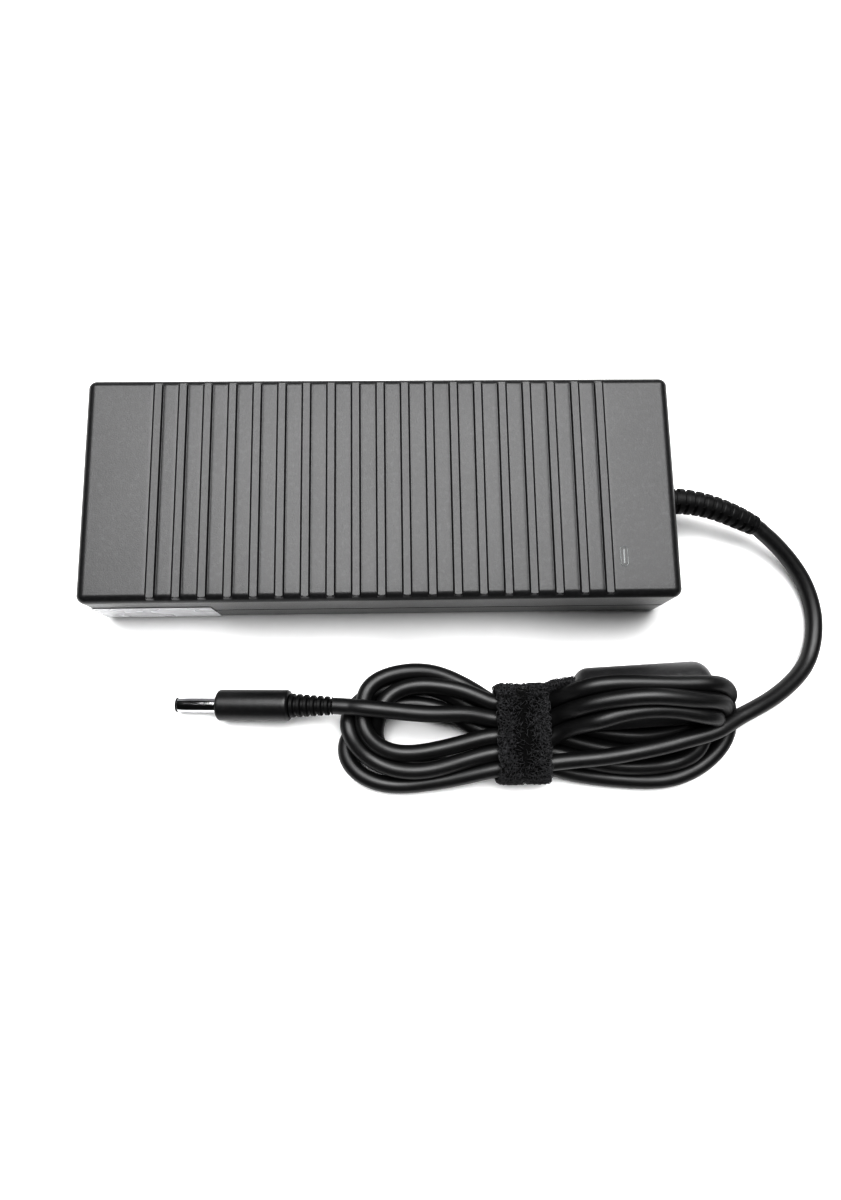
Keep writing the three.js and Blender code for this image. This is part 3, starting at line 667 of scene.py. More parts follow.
class ADAPTER_OT_cord_mouldings(bpy.types.Operator):
    """Mould the case's slotted strain relief and the ferrite's cover"""

    bl_idname = "adapter.cord_mouldings"
    bl_label = "Strain relief and ferrite"

    def execute(self, context):
        colour = context.scene.adapter_cord.colour
        self.strain_relief(rubber("boot_rubber", colour))
        self.ferrite(textured_plastic("ferrite_moulding", lighter(colour, 2.5), grain=1500,
                                      rough=(0.44, 0.54), depth=0.012, Specular_IOR_Level=1.0,
                                      Coat_Weight=0.6, Coat_Roughness=0.4))
        return {"FINISHED"}

    def strain_relief(self, finish):
        """Radius falls along the boot; each slot cuts in as a smooth pulse along it, deep on the
        two sides, nearly nothing on the spines above and below."""
        path = evenly(through(RELIEF, 12), 0.11)
        sides = 64
        along = arc_length(path)[:, None]
        angle = np.linspace(0, TURN, sides, endpoint=False)[None, :]
        pitch, first, last = 2.75, 6.6, 34.0
        envelope = np.interp(along, [0, 4.4, 5.6, 30.0, 35.2], [4.1, 4.1, 3.95, 3.35, 2.95])
        phase = np.mod((along - first) / pitch, 1.0)
        slot = smoothstep(phase, 0.52, 0.60) * (1 - smoothstep(phase, 0.92, 1.0))
        slot = slot * (along > first - 0.1) * (along < last)
        flank = smoothstep(np.abs(np.sin(angle)), 0.50, 0.66)
        radius = envelope - slot * (0.12 + 1.0 * flank)
        flange = 1 - smoothstep(along, 1.55, 1.7)
        radius = radius + flange * (5.9 - 4.1)
        radius = radius - 0.35 * smoothstep(along, along[-1] - 0.5, along[-1]) ** 2
        add_piece("case_boot", swept(path, radius), grid_faces(len(path), sides), finish,
                  ("cord_strain_relief",), rings=capped(len(path), sides))

    def ferrite(self, finish):
        """A turned ring section: bore, flat ends and rounded shoulders; a faint parting line runs
        along both sides and two small gate marks sit on the upper side."""
        half, radius, bore, round_ = FERRITE_HALF, FERRITE_RADIUS, 2.45, 4.2
        right = rounded_corner((half - round_, radius - round_), round_, 0, 90, 12)
        barrel = [(x, radius) for x in np.linspace(half - round_, round_ - half, 90)[1:-1]]
        left = [(-x, r) for x, r in right[::-1]]
        profile = np.array([(half - 0.5, bore), (half, bore + 0.5), *right, *barrel, *left,
                            (-half, bore + 0.5), (0.5 - half, bore)])
        sides = 144
        points = turned(profile, sides, FERRITE_CENTRE, FERRITE_AXIS).reshape(-1, sides, 3)
        along, angle = profile[:, :1], np.linspace(0, TURN, sides, endpoint=False)[None, :]
        seam = 0.05 * np.exp(-((np.abs(np.sin(angle)) - 1) * 260) ** 2)
        marks = sum(np.exp(-(((along - x) / 0.45) ** 2 + ((angle - a) * radius / 0.45) ** 2))
                    for x, a in ((-13.0, TURN - 0.62), (9.0, TURN - 0.55)))
        outer = (profile[:, 1:] > radius - 0.1)
        ends = unit(points - (FERRITE_CENTRE + along[:, :, None] * FERRITE_AXIS))
        points = points + ends * ((seam - 0.25 * marks) * outer)[:, :, None]
        points[..., 2] = np.maximum(points[..., 2], 0.0)
        add_piece("ferrite_moulding", points.reshape(-1, 3),
                  grid_faces(len(profile), sides, wrap_rows=True), finish,
                  ("ferrite_cover",))


# ------------------------------------------------------------------ strap

STRAP_THICKNESS = 1.3
STRAP_CORNER = 3.6                # bend of the strap round the bundle
STRAP_MIDDLE = (STRAP_LOW[0] + STRAP_HIGH[0]) / 2


def strap_section(samples):
    """The strap's path round the bundle, seen along X: a rounded box."""
    low, high = STRAP_LOW[1:] + STRAP_THICKNESS / 2, STRAP_HIGH[1:] - STRAP_THICKNESS / 2
    low[1] = max(low[1], 0.66)
    left, right = low[0] + STRAP_CORNER, high[0] - STRAP_CORNER
    lower, upper = low[1] + STRAP_CORNER, high[1] - STRAP_CORNER
    centres = [(right, upper), (left, upper), (left, lower), (right, lower)]
    loop = [point for quarter, centre in enumerate(centres)
            for point in rounded_corner(centre, STRAP_CORNER, 90 * quarter, 90 * quarter + 90, 8)]
    loop = np.array(loop + loop[:1])
    along = arc_length(loop)
    at = np.mod(samples, 1.0) * along[-1]
    return np.stack([np.interp(at, along, loop[:, k]) for k in (0, 1)], -1)


class ADAPTER_OT_strap(bpy.types.Operator):
    """Wrap the hook-and-loop strap round the bundle, with its overlap and its pile"""

    bl_idname = "adapter.strap"
    bl_label = "Hook-and-loop strap"

    def execute(self, context):
        settings = context.scene.adapter_cord
        finish = looped_fabric("strap_fabric", lighter(settings.colour, 0.15))
        band, normal, along = self.band(finish)
        nylon = nylon_pile("strap_nylon", lighter(settings.colour, 6.5))
        self.pile(band, normal, along, settings.strap_fibres, nylon)
        self.tail(finish, nylon)
        return {"FINISHED"}

    def band(self, finish):
        """The strap runs a little more than once round the bundle, climbing onto its own start;
        its section is a rounded rectangle, and its edges wander and its face is lumpy."""
        random = np.random.default_rng(11)
        turns = np.linspace(0.93, 2.06, 420)
        climb = 1.15 * smoothstep(turns, 1.86, 1.95)
        centre = strap_section(turns)
        outward = unit(np.stack([np.gradient(centre[:, 1]), -np.gradient(centre[:, 0])], -1))
        outward *= np.sign((outward * (centre - centre.mean(0))).sum())
        centre = centre + outward * climb[:, None]
        half, thick, round_ = (STRAP_HIGH[0] - STRAP_LOW[0]) / 2 - 0.3, 0.55, 0.42
        quarter = rounded_corner((half - round_, thick - round_), round_, 0, 90, 4)
        top = [(x, thick) for x in np.linspace(half - round_, round_ - half, 46)[1:-1]]
        upper = quarter + top + [(-x, z) for x, z in quarter[::-1]]
        section = np.array(upper + [(-x, -z) for x, z in upper])
        wander = np.interp(np.arange(420), np.arange(0, 421, 12), random.normal(0, 0.16, 36)[:36])
        lumps = random.normal(0, 1, (420, len(section)))
        for _ in range(2):
            lumps = (lumps + np.roll(lumps, 1, 0) + np.roll(lumps, 1, 1)) / 2
        across = section[None, :, 0] * (1 + 0.004 * wander[:, None]) + wander[:, None] \
            + 0.05 * lumps * (np.abs(section[None, :, 0]) > half - 0.5)
        height = section[None, :, 1] + 0.10 * lumps * (np.abs(section[None, :, 1]) > 0.3)
        yz = centre[:, None, :] + outward[:, None, :] * height[:, :, None]
        x = np.clip(STRAP_MIDDLE + across, STRAP_LOW[0] - 0.3, STRAP_HIGH[0] + 0.3)
        points = np.concatenate([x[:, :, None], yz], -1)
        points[..., 2] = np.maximum(points[..., 2], 0.02)
        columns = len(section)
        add_piece("hank_strap_band", points.reshape(-1, 3), grid_faces(420, columns), finish,
                  ("hank_strap",), sharp=60, rings=capped(420, columns))
        return centre, outward, turns

    def pile(self, centre, outward, turns, count, finish):
        """Small arches of fibre scattered over the outer face and the edges of the strap: each is
        a half circle leaning a random way, as a three-sided tube."""
        random = np.random.default_rng(5)
        spot = random.uniform(turns[0], turns[-1], count)
        spot = spot[np.interp(spot, turns, centre[:, 1]) > 1.2]
        base = np.stack([np.interp(spot, turns, centre[:, k]) for k in (0, 1)], -1)
        out = unit(np.stack([np.interp(spot, turns, outward[:, k]) for k in (0, 1)], -1))
        half = (STRAP_HIGH[0] - STRAP_LOW[0]) / 2 - 0.3
        side = random.choice([-1.0, 1.0], len(spot))
        offset = half * side * random.uniform(0, 1, len(spot)) ** 0.55
        lift = 0.45 * (1 - 0.8 * smoothstep(np.abs(offset), half - 0.4, half))
        normal = unit(np.column_stack([2.0 * (offset / half) ** 9, out]))
        root = np.column_stack([STRAP_MIDDLE + offset, base + out * lift[:, None]])
        add_arches("strap_pile", root, normal, random, finish)

    def tail(self, fabric, nylon):
        """The strap's loose end: a flat strip on its edge, leaning back against the ferrite, as a
        rounded rectangle carried along a slightly curved line."""
        line = through([(45.4, -59.6, 6.6), (49.0, -58.3, 6.7), (52.4, -57.6, 6.8),
                        (55.2, -57.4, 6.8)], 12)
        lean = math.radians(17)
        angle = np.linspace(0, TURN, 40, endpoint=False)
        c, s = np.cos(angle), np.sin(angle)
        tall = 6.4 * np.sign(s) * np.abs(s) ** 0.35
        thick = 0.6 * np.sign(c) * np.abs(c) ** 0.6
        section = np.stack([0 * c, tall * math.sin(lean) + thick * math.cos(lean),
                            tall * math.cos(lean) - thick * math.sin(lean)], -1)
        random = np.random.default_rng(23)
        points = line[:, None, :] + section[None] + random.normal(0, 0.05, (len(line), 40, 3))
        add_piece("strap_tail", points.reshape(-1, 3), grid_faces(len(line), 40), fabric,
                  sharp=70, rings=capped(len(line), 40))
        count = 900
        row, column = random.integers(0, len(line), count), random.integers(0, 40, count)
        random.normal(0, 0.1, (count, 3))          # keeps the later draws where they are
        on_face = np.abs(c) > 0.3
        facing = np.stack([0 * c, np.where(on_face, np.sign(c), 0), np.sign(s) * ~on_face], -1)
        normal = unit(facing[column] + random.normal(0, 0.3, (count, 3)))
        add_arches("strap_tail_pile", points[row, column], normal, random, nylon)


def add_arches(name, root, normal, random, finish):
    """Half circles of fibre that stand on their roots along the normals, each a three-sided tube:
    centre = root + reach (cos a lean + 1.25 sin a normal), a from 0 to a half turn."""
    count = len(root)
    lean = random.normal(0, 1, (count, 3))
    lean = unit(lean - (lean * normal).sum(1, keepdims=True) * normal)
    reach = random.uniform(0.45, 1.0, count)[:, None, None]
    angle = np.linspace(0, math.pi, 6)[None, :, None]
    arch = root[:, None] + reach * (np.cos(angle) * lean[:, None]
                                    + 1.25 * np.sin(angle) * normal[:, None])
    radial = np.cos(angle) * lean[:, None] + np.sin(angle) * normal[:, None]
    binormal = np.cross(lean, normal)[:, None, None]
    spin = (np.arange(3) * TURN / 3)[:, None]
    ring = arch[:, :, None] + 0.13 * (np.cos(spin) * radial[:, :, None] + np.sin(spin) * binormal)
    points = ring.reshape(-1, 3)
    points[:, 2] = np.maximum(points[:, 2], 0.0)
    faces = (grid_faces(6, 3)[None] + (np.arange(count) * 18)[:, None, None]).reshape(-1, 4)
    add_piece(name, points, faces, finish, sharp=180)


# ------------------------------------------------------------------ barrel plug

PLUG_TIP = np.array([-61.75, -59.95, 2.37])
PLUG_TURN, PLUG_PITCH = math.radians(-1.7), math.radians(9.0)
PLUG_AXIS = np.array([math.cos(PLUG_TURN) * math.cos(PLUG_PITCH),
                      math.sin(PLUG_TURN) * math.cos(PLUG_PITCH), math.sin(PLUG_PITCH)])
BARREL_LENGTH, BARREL_RADIUS, BARREL_END = 12.9, 2.25, 16.5
GRIP_END, GRIP_RADIUS = 34.8, 4.55


class ADAPTER_OT_plug(bpy.types.Operator):
    """Turn the barrel plug, its grip and its ridged boot, and clear the stored cord route"""

    bl_idname = "adapter.plug"
    bl_label = "Barrel plug"

    def execute(self, context):
        colour = context.scene.adapter_cord.colour
        chrome = polished_metal("contact_chrome", (0.72, 0.72, 0.73), (0.06, 0.18), (0.15, 1, 1))
        self.turn_piece("barrel_shell", [
            (0.5, 1.97), *rounded_corner((0.72, 2.03), 0.22, 180, 90, 5), (3.0, BARREL_RADIUS),
            (9.0, BARREL_RADIUS), (BARREL_END, BARREL_RADIUS), (BARREL_END, 1.97), (9.0, 1.97)],
            chrome, "contact_chrome", ("plug_barrel",), 72)
        g, start = GRIP_RADIUS, BARREL_LENGTH
        self.turn_piece("plug_handle", [
            (start + 3.9, 0.4), (start + 3.9, 2.5), (start, 2.5), (start, g - 0.75),
            *rounded_corner((start + 0.8, g - 0.8), 0.8, 180, 90, 7),
            *[(x, g) for x in np.linspace(start + 1.2, GRIP_END - 1.6, 20)],
            *rounded_corner((GRIP_END - 1.1, g - 1.1), 1.1, 90, 0, 8), (GRIP_END, 0.4)],
            textured_plastic("plug_plastic", lighter(colour, 1.3), grain=2400, rough=(0.34, 0.46),
                             depth=0.02, Specular_IOR_Level=0.75),
            "case_plastic", ("plug_grip",), 96)
        self.turn_piece("plug_boot", self.boot_profile(), rubber("plug_rubber", colour),
                        "boot_rubber", ("plug_strain_relief",), 64)
        self.declare_cord(context)
        return {"FINISHED"}

    def turn_piece(self, name, profile, finish, slot, replaces, sides):
        """One profile turned round the plug's axis and closed on itself."""
        add_piece(name, turned(profile, sides, PLUG_TIP, PLUG_AXIS),
                  grid_faces(len(profile), sides, wrap_rows=True), finish, replaces)

    def boot_profile(self):
        """Ridges of falling radius with round shoulders and square-bottomed grooves."""
        start, pitch = GRIP_END + 0.2, 12.4 / 6
        profile = [(start, 0.4)]
        for k in range(6):
            x, r = start + k * pitch, 3.5 - 0.15 * k
            profile += [(x, r - 0.15), (x + 0.15, r), (x + 0.55 * pitch - 0.15, r),
                        (x + 0.55 * pitch, r - 0.15), (x + 0.62 * pitch, r - 0.75),
                        (x + 0.97 * pitch, r - 0.75)]
        return profile + [(start + 12.4, 2.55), (start + 12.4, 0.4)]

    def declare_cord(self, context):
        """Removes the cord route that the output cord step stored on the scene."""
        del context.scene["cord_route"]


# ------------------------------------------------------------------ case

def arch(half_width, rise, edge, middle, extra):
    """One section of a cover seen along X, as (y, height above the parting line): three points at
    the parting line, a straight wall, a rounded edge, half the flat, and the same mirrored.
    extra holds the three points' (step outwards, height)."""
    start = max(extra[-1][1], 0.0)
    wall = np.linspace(start, rise - edge, 5)[1:-1]
    bend = np.radians(np.linspace(0, 90, 18))
    flat = np.linspace(half_width - edge, 0, 10)[1:]
    y = np.r_[[half_width + step for step, _ in extra], np.full(3, half_width),
              half_width - edge + edge * np.cos(bend), flat]
    h = np.r_[[height for _, height in extra], wall, rise - edge + edge * np.sin(bend),
              np.full(9, rise)]
    return np.r_[y, -y[-2::-1]] + middle, np.r_[h, h[-2::-1]]


def cover(seam, rise, edge, openings, outer_extra, inner_extra, sign, stations, relief=None):
    """A hollow cover as one closed surface.

    Rows run along the case: round the inlet's opening, over the end, the rounded end edge, along
    the case, and the same at the cord's end, then back along the inside. Columns run over the
    section. The last columns of the outside and the inside are joined at the parting line.
    """
    outside, inside = [], []
    bend = np.radians(np.linspace(0, 90, 8))
    rounding = [(HALF_LENGTH - END_CORNER * (1 - math.sin(a)), END_CORNER * (1 - math.cos(a)))
                for a in bend]
    rows = [(-x, inset) for x, inset in rounding[::-1]]
    rows += [(x, 0.0) for x in stations]
    rows += rounding
    step_out = np.array([s for s, _ in outer_extra])
    step_in = np.array([s for s, _ in inner_extra])

    def row(x, half_width, top, radius, middle, extra, steps, limit):
        y, h = arch(half_width, top, radius, middle, extra)
        grow = np.zeros(len(y))
        grow[:3], grow[-3:] = steps, steps[::-1]
        reach = x * (1 + grow / limit)
        return np.stack([reach, y, seam + sign * h], -1)

    for end, (half_width, top, radius, middle) in ((-1, openings[0]), (1, openings[1])):
        flat_out = [(0.0, h) for _, h in outer_extra]
        flat_in = [(0.0, h) for _, h in inner_extra]
        outside.append(row(end * HALF_LENGTH, half_width, top, radius, middle, flat_out, step_out,
                           HALF_LENGTH))
        inside.append(row(end * (HALF_LENGTH - WALL), half_width, top, radius, middle, flat_in,
                          step_in, HALF_LENGTH - WALL))
    body_out, body_in = [], []
    scale = (HALF_LENGTH - WALL) / HALF_LENGTH
    for x, inset in rows:
        body_out.append(row(x, HALF_WIDTH - inset, rise - inset, max(edge - inset, 0.05), 0.0,
                            outer_extra, step_out, HALF_LENGTH))
        body_in.append(row(x * scale, HALF_WIDTH - WALL, rise - WALL, 0.6, 0.0, inner_extra,
                           step_in, HALF_LENGTH - WALL))
    body_out = np.array(body_out)
    if relief is not None:
        body_out = relief(body_out)
    outer = np.concatenate([[outside[0]], body_out, [outside[1]]])
    inner = np.concatenate([[inside[0]], np.array(body_in), [inside[1]]])[::-1]
    columns = outer.shape[1]
    surface = np.concatenate([outer, inner])
    count = len(outer)
    faces = grid_faces(len(surface), columns, wrap_rows=True, wrap_columns=False)
    i = np.arange(count - 1)
    first, facing = i * columns, (2 * count - 1 - i) * columns
    last = columns - 1
    seam_a = np.stack([first + columns, first, facing, facing - columns], -1)
    seam_b = np.stack([first, first + columns, facing - columns, facing], -1) + last
    return surface.reshape(-1, 3), np.vstack([faces, seam_a, seam_b])


class ADAPTER_OT_case(bpy.types.Operator):
    """Mould the ribbed top cover, the bottom cover and the indicator's lens"""

    bl_idname = "adapter.case"
    bl_label = "Case covers"

    def execute(self, context):
        settings = context.scene.adapter_case
        plastic = textured_plastic("case_plastic", settings.colour, depth=0.09,
                                   Specular_IOR_Level=0.34, Coat_Weight=0.7, Coat_Roughness=0.28)
        self.top(settings, plastic)
        self.base(settings, plastic)
        self.lens()
        return {"FINISHED"}

    def rib_centres(self, settings):
        """Ribs are evenly spaced and centred on the case."""
        return (np.arange(settings.rib_count) - (settings.rib_count - 1) / 2) * 7.122

    def top(self, settings, plastic):
        """Each rib is a long level bar with rounded corners that stands out over the rounded edge:
        the face rises to the bar's top as a smooth step across the bar's outline."""
        centres = self.rib_centres(settings)
        half = settings.rib_width / 2 / MM
        near = np.array([0, 0.5, 0.85, 0.95, 1.04, 1.12, 1.2, 1.28, 1.36, 1.45, 1.55, 1.7,
                         2.4]) * half / 1.2
        stations = np.unique(np.r_[(centres[:, None] + np.r_[-near, near]).ravel(),
                                   np.linspace(-82.0, 82.0, 60)].round(3))
        stations = stations[(stations > -82.3) & (stations < 82.3)]
        edge, height = settings.top_edge / MM, settings.rib_height / MM

        def ribs(surface):
            x, y, z = surface[..., 0], surface[..., 1], surface[..., 2]
            to_rib = np.abs(x[..., None] - centres).min(-1)
            reach = np.where(y < 0, RIB_REACH[0], RIB_REACH[1])
            outside = np.hypot(np.maximum(to_rib - half + RIB_CORNER, 0),
                               np.maximum(np.abs(y) - reach + RIB_CORNER, 0)) - RIB_CORNER
            bar = 1 - smoothstep(outside, -0.2, 0.2)
            groove = 0.07 * np.exp(-((outside - 0.30) / 0.12) ** 2)
            upper = z > CROWN - edge - 0.2
            surface[..., 2] += ((CROWN + height - z) * bar - groove * (np.abs(y) < reach)) * upper
            return surface

        points, faces = cover(
            SEAM_TOP, CROWN - SEAM_TOP, edge,
            [(14.0, 23.7 - SEAM_TOP, 1.2, 0.0), (4.4, 16.4 - SEAM_TOP, 4.4, EXIT_POINT[1])],
            [(-0.22, 0.0), (0.0, 0.2), (0.0, 0.6)], [(1.1, 0.0), (1.1, 2.15), (0.0, 2.15)], 1,
            stations, ribs)
        add_piece("case_top", points, faces, plastic, ("top_cover",), sharp=42)

    def base(self, settings, plastic):
        """A plain tray whose tongue stands inside the top cover."""
        lip = LIP_TOP - SEAM_BASE
        points, faces = cover(
            SEAM_BASE, SEAM_BASE - BASE_LOW[2], settings.base_edge / MM,
            [(14.0, SEAM_BASE - 3.1, 1.2, 0.0), (4.4, SEAM_BASE - 7.6, 3.8, EXIT_POINT[1])],
            [(-0.22, 0.0), (0.0, 0.2), (0.0, 0.6)], [(0.8, 0.0), (0.8, -lip), (0.0, -lip)], -1,
            np.linspace(-82, 82, 60))
        add_piece("case_base", points, faces, plastic, ("bottom_cover",), sharp=42)

    def lens(self):
        """A long oval plug: straight skirt, small rolled rim, a shallow moat and a domed middle,
        each ring the same oval grown or shrunk."""
        middle = (LENS_LOW + LENS_HIGH)[:2] / 2
        half = (LENS_HIGH - LENS_LOW)[:2] / 2
        top = LENS_HIGH[2]
        rings = [(0.0, 15.5), (0.0, 25.6), (0.0, top + 0.02), (0.06, top + 0.16),
                 (0.16, top + 0.20), (0.28, top + 0.16), (0.36, top - 0.02), (0.46, top - 0.08),
                 (0.65, top + 0.02), (0.85, top + 0.08), (1.05, top + 0.11)]
        angle = np.linspace(0, TURN, 64, endpoint=False)
        straight = half[1] - half[0]
        y = np.sin(angle)
        outline = np.stack([np.cos(angle), y], -1)
        stretch = np.sign(y) * straight * np.minimum(1, np.abs(y) * 6)
        rows = [np.column_stack([middle[0] + (half[0] - inset) * outline[:, 0],
                                 middle[1] + (half[0] - inset) * outline[:, 1] + stretch,
                                 np.full(64, z)])
                for inset, z in rings]
        points = np.concatenate(rows)
        add_piece("indicator_lens", points, grid_faces(len(rings), 64),
                  clear_plastic("lens_clear", (0.20, 0.21, 0.21)), ("led_lens",),
                  rings=capped(len(rings), 64))


# ------------------------------------------------------------------ parts kept from the CAD model

def node_finishes(case_colour, cord_colour):
    """Finish and slot of every CAD node that stays in view, in groups."""
    dark = (0.025, 0.025, 0.027)
    return [
        (rubber("foot_rubber", lighter(cord_colour, 1.2), (0.6, 0.8)), "foot_rubber",
         ["rubber_foot_1", "rubber_foot_2", "rubber_foot_3", "rubber_foot_4"]),
        (printed_film("seal_film", (0.46, 0.46, 0.47), (0.24, 0.34)), "seal_film", ["seal_label"]),
        (printed_film("rating_film", (0.16, 0.16, 0.165)), "rating_film", ["rating_label"]),
        (textured_plastic("inlet_plastic", lighter(case_colour, 0.8), rough=(0.34, 0.46)),
         "inlet_plastic", ["ac_inlet_housing"]),
        (polished_metal("pin_nickel", (0.66, 0.64, 0.60), (0.16, 0.3), (0.2, 1, 1)),
         "contact_chrome", ["line_pin", "neutral_pin", "earth_pin", "plug_inner_sleeve"]),
        (polished_metal("contact_brass", (0.62, 0.45, 0.18), (0.14, 0.3)), "contact_brass",
         ["plug_centre_pin"]),
        (textured_plastic("insulator_plastic", dark, rough=(0.2, 0.32), depth=0.01),
         "insulator_plastic", ["plug_insulator"]),
        (polished_metal("heatsink_aluminium", (0.60, 0.61, 0.62), (0.28, 0.45), (0.1, 1, 1)),
         "heatsink_aluminium", ["heat_spreader", "primary_heatsink", "secondary_heatsink"]),
        (etched_board("board_laminate", (0.012, 0.075, 0.022)), "board_laminate",
         ["circuit_board"]),
        (printed_film("insulating_film", (0.55, 0.50, 0.32)), "insulating_film",
         ["insulating_sheet"]),
        (wound_wire("winding_enamel", (0.42, 0.13, 0.04)), "winding_enamel",
         ["line_choke_winding", "pfc_inductor_winding", "output_choke"]),
        (wound_wire("winding_tape", (0.55, 0.42, 0.06), 2.5), "winding_tape",
         ["transformer_winding"]),
        (textured_plastic("ferrite_ceramic", (0.045, 0.045, 0.05), 900, (0.6, 0.8), 0.05),
         "ferrite_core", ["ferrite_core", "line_choke_core", "pfc_inductor_core",
                          "transformer_core"]),
        (textured_plastic("device_epoxy", dark, 1800, (0.35, 0.5), 0.02), "device_epoxy",
         ["pfc_switch", "pfc_diode", "main_switch", "output_rectifier", "bridge_rectifier",
          "controller_chip", "optocoupler"]),
        (printed_film("capacitor_sleeve", (0.03, 0.035, 0.06), (0.2, 0.3)), "capacitor_sleeve",
         ["bulk_capacitor", "output_capacitor_1", "output_capacitor_2", "output_capacitor_3"]),
        (rubber("disc_blue", (0.03, 0.11, 0.32), (0.25, 0.4)), "disc_blue",
         ["varistor", "y_capacitor_1", "y_capacitor_2"]),
        (textured_plastic("box_yellow", (0.55, 0.34, 0.05), 1500, (0.35, 0.5), 0.02), "box_yellow",
         ["x_capacitor"]),
        (textured_plastic("fuse_ceramic", (0.62, 0.60, 0.55), 1200, (0.4, 0.55), 0.02),
         "fuse_ceramic", ["fuse"]),
        (clear_plastic("led_epoxy", (0.10, 0.30, 0.12)), "led_epoxy", ["indicator_led"]),
        (rubber("wire_red", (0.42, 0.02, 0.015), (0.3, 0.42)), "wire_red",
         ["output_wire_positive"]),
        (rubber("wire_black", dark, (0.3, 0.42)), "wire_black", ["output_wire_negative"]),
    ]


class ADAPTER_OT_kept_parts(bpy.types.Operator):
    """Finish the inlet, labels, feet and the parts inside the case"""

    bl_idname = "adapter.kept_parts"
    bl_label = "Inlet, labels and inner parts"

    def execute(self, context):
        scene = context.scene
        for finish, slot, nodes in node_finishes(scene.adapter_case.colour,
                                                 scene.adapter_cord.colour):
            for node in nodes:
                piece = bpy.data.objects[node]
                piece.data.materials.clear()
                piece.data.materials.append(finish)
        return {"FINISHED"}


# ------------------------------------------------------------------ stage

CAMERA_PLACE = Vector((5.14, -73.07, 244.89)) * MM
CAMERA_ELEVATION, CAMERA_ROLL, CAMERA_YAW = (math.radians(v) for v in (79.605, 7.234, 8.049))


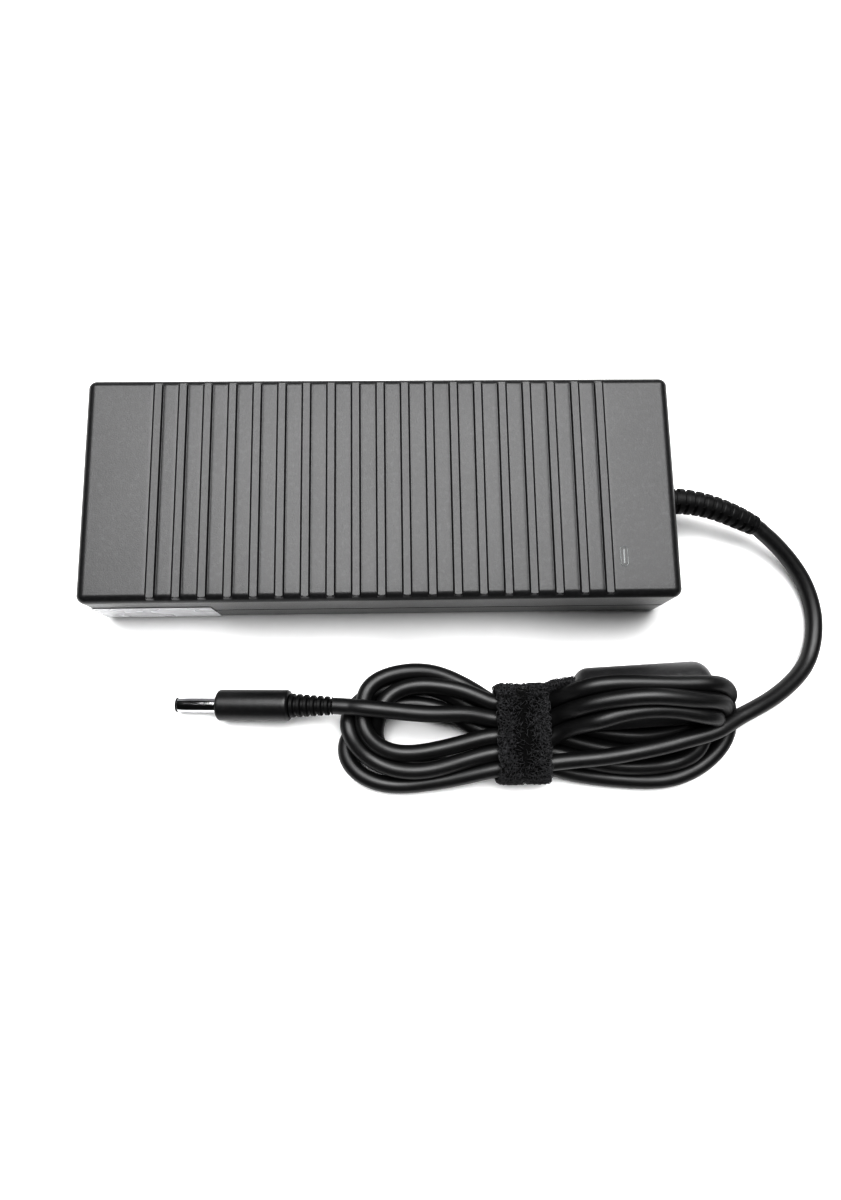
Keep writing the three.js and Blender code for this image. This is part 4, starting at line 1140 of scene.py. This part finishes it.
class ADAPTER_OT_stage(bpy.types.Operator):
    """Set up the camera, the pale floor and the soft studio light"""

    bl_idname = "adapter.stage"
    bl_label = "Stage"

    def execute(self, context):
        settings = context.scene.adapter_stage
        self.camera(context, settings)
        self.floor()
        self.lights(context, settings)
        view = context.scene.view_settings
        view.view_transform = "Standard"
        view.look = "None"
        view.gamma = settings.contrast
        view.exposure = settings.exposure
        return {"FINISHED"}

    def camera(self, context, settings):
        """Looks down from above the cord's side, with the fitted turn about its own axis."""
        e, r = CAMERA_ELEVATION, CAMERA_ROLL
        forward = Vector((0, math.cos(e), -math.sin(e)))
        right = Vector((1, 0, 0))
        up = right.cross(forward)
        right, up = (math.cos(r) * right + math.sin(r) * up,
                     -math.sin(r) * right + math.cos(r) * up)
        frame_rows = Matrix((right, up, -forward)) @ Matrix.Rotation(CAMERA_YAW, 3, "Z")
        data = bpy.data.cameras.new("overhead_camera")
        data.lens, data.sensor_width, data.sensor_fit = settings.lens, 36.0, "AUTO"
        data.clip_start, data.clip_end = 0.01, 20.0
        camera = bpy.data.objects.new("overhead_camera", data)
        context.scene.collection.objects.link(camera)
        camera.matrix_world = Matrix.Translation(CAMERA_PLACE) @ frame_rows.transposed().to_4x4()
        context.scene.camera = camera

    def floor(self):
        """A wide sheet of pale board just under the feet."""
        finish = Finish("pale_board")
        fibre = finish.noise(120, 3.0, 0.6)
        finish.set(Base_Color=finish.blend(fibre, (0.86, 0.86, 0.86), (0.90, 0.90, 0.90)),
                   Roughness=finish.span(fibre, 0.3, 0.7, 0.75, 0.9))
        side = np.linspace(-3000.0, 3000.0, 13)
        x, y = np.meshgrid(side, side, indexing="ij")
        points = np.stack([x, y, 0 * x - 0.05], -1).reshape(-1, 3) * MM
        mesh = bpy.data.meshes.new("floor")
        mesh.from_pydata(points.tolist(), [], grid_faces(13, 13, wrap_columns=False).tolist())
        mesh.materials.append(finish.material)
        floor = bpy.data.objects.new("floor", mesh)
        bpy.context.scene.collection.objects.link(floor)

    def lights(self, context, settings):
        """One broad light above, one behind, one in front that only fills, and the surround."""
        for name, power, size, place, aim_y in (
                ("overhead_light", settings.key_power, (1.5, 1.0), (0.0, 0.42, 1.2), 0.1),
                ("rear_light", settings.fill_power, (1.4, 0.5), (0.0, 1.3, 0.7), 0.0),
                ("front_light", settings.front_power, (1.6, 0.8), (0.0, -1.2, 0.7), 0.0)):
            data = bpy.data.lights.new(name, "AREA")
            data.shape, data.size, data.size_y, data.energy = "RECTANGLE", *size, power
            light = bpy.data.objects.new(name, data)
            light.location = place
            towards = Vector((0.0, aim_y, 0.0)) - Vector(place)
            light.rotation_euler = towards.to_track_quat("-Z", "Y").to_euler()
            light.visible_glossy = name != "front_light"
            context.scene.collection.objects.link(light)
        world = bpy.data.worlds.new("studio")
        context.scene.world = world
        world.use_nodes = True
        background = world.node_tree.nodes["Background"]
        background.inputs["Color"].default_value = (1.0, 1.0, 1.0, 1.0)
        background.inputs["Strength"].default_value = settings.surround


# ------------------------------------------------------------------ add-on

OPERATORS = (ADAPTER_OT_stage, ADAPTER_OT_output_cord, ADAPTER_OT_cord_mouldings,
             ADAPTER_OT_strap, ADAPTER_OT_plug, ADAPTER_OT_case, ADAPTER_OT_kept_parts)


class ADAPTER_PT_sidebar(bpy.types.Panel):
    """Settings and build steps of the power adapter"""

    bl_label = "Power adapter"
    bl_idname = "ADAPTER_PT_sidebar"
    bl_space_type = "VIEW_3D"
    bl_region_type = "UI"
    bl_category = "Adapter"

    def draw(self, context):
        for group in ("adapter_stage", "adapter_cord", "adapter_case"):
            settings = getattr(context.scene, group)
            box = self.layout.box()
            for name in settings.__annotations__:
                box.prop(settings, name)
        for operator in OPERATORS:
            self.layout.operator(operator.bl_idname)


SETTINGS = {"adapter_case": AdapterCaseSettings, "adapter_cord": AdapterCordSettings,
            "adapter_stage": AdapterStageSettings}
CLASSES = (*SETTINGS.values(), *OPERATORS, ADAPTER_PT_sidebar)


def register():
    for cls in CLASSES:
        bpy.utils.register_class(cls)
    for name, group in SETTINGS.items():
        setattr(bpy.types.Scene, name, PointerProperty(type=group))


def unregister():
    for name in SETTINGS:
        delattr(bpy.types.Scene, name)
    for cls in reversed(CLASSES):
        bpy.utils.unregister_class(cls)


def main():
    """Builds everything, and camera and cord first."""
    register()
    bpy.ops.adapter.stage()
    bpy.ops.adapter.output_cord()
    bpy.ops.adapter.cord_mouldings()
    bpy.ops.adapter.strap()
    bpy.ops.adapter.plug()
    bpy.ops.adapter.case()
    bpy.ops.adapter.kept_parts()


if __name__ == "__main__":
    main()
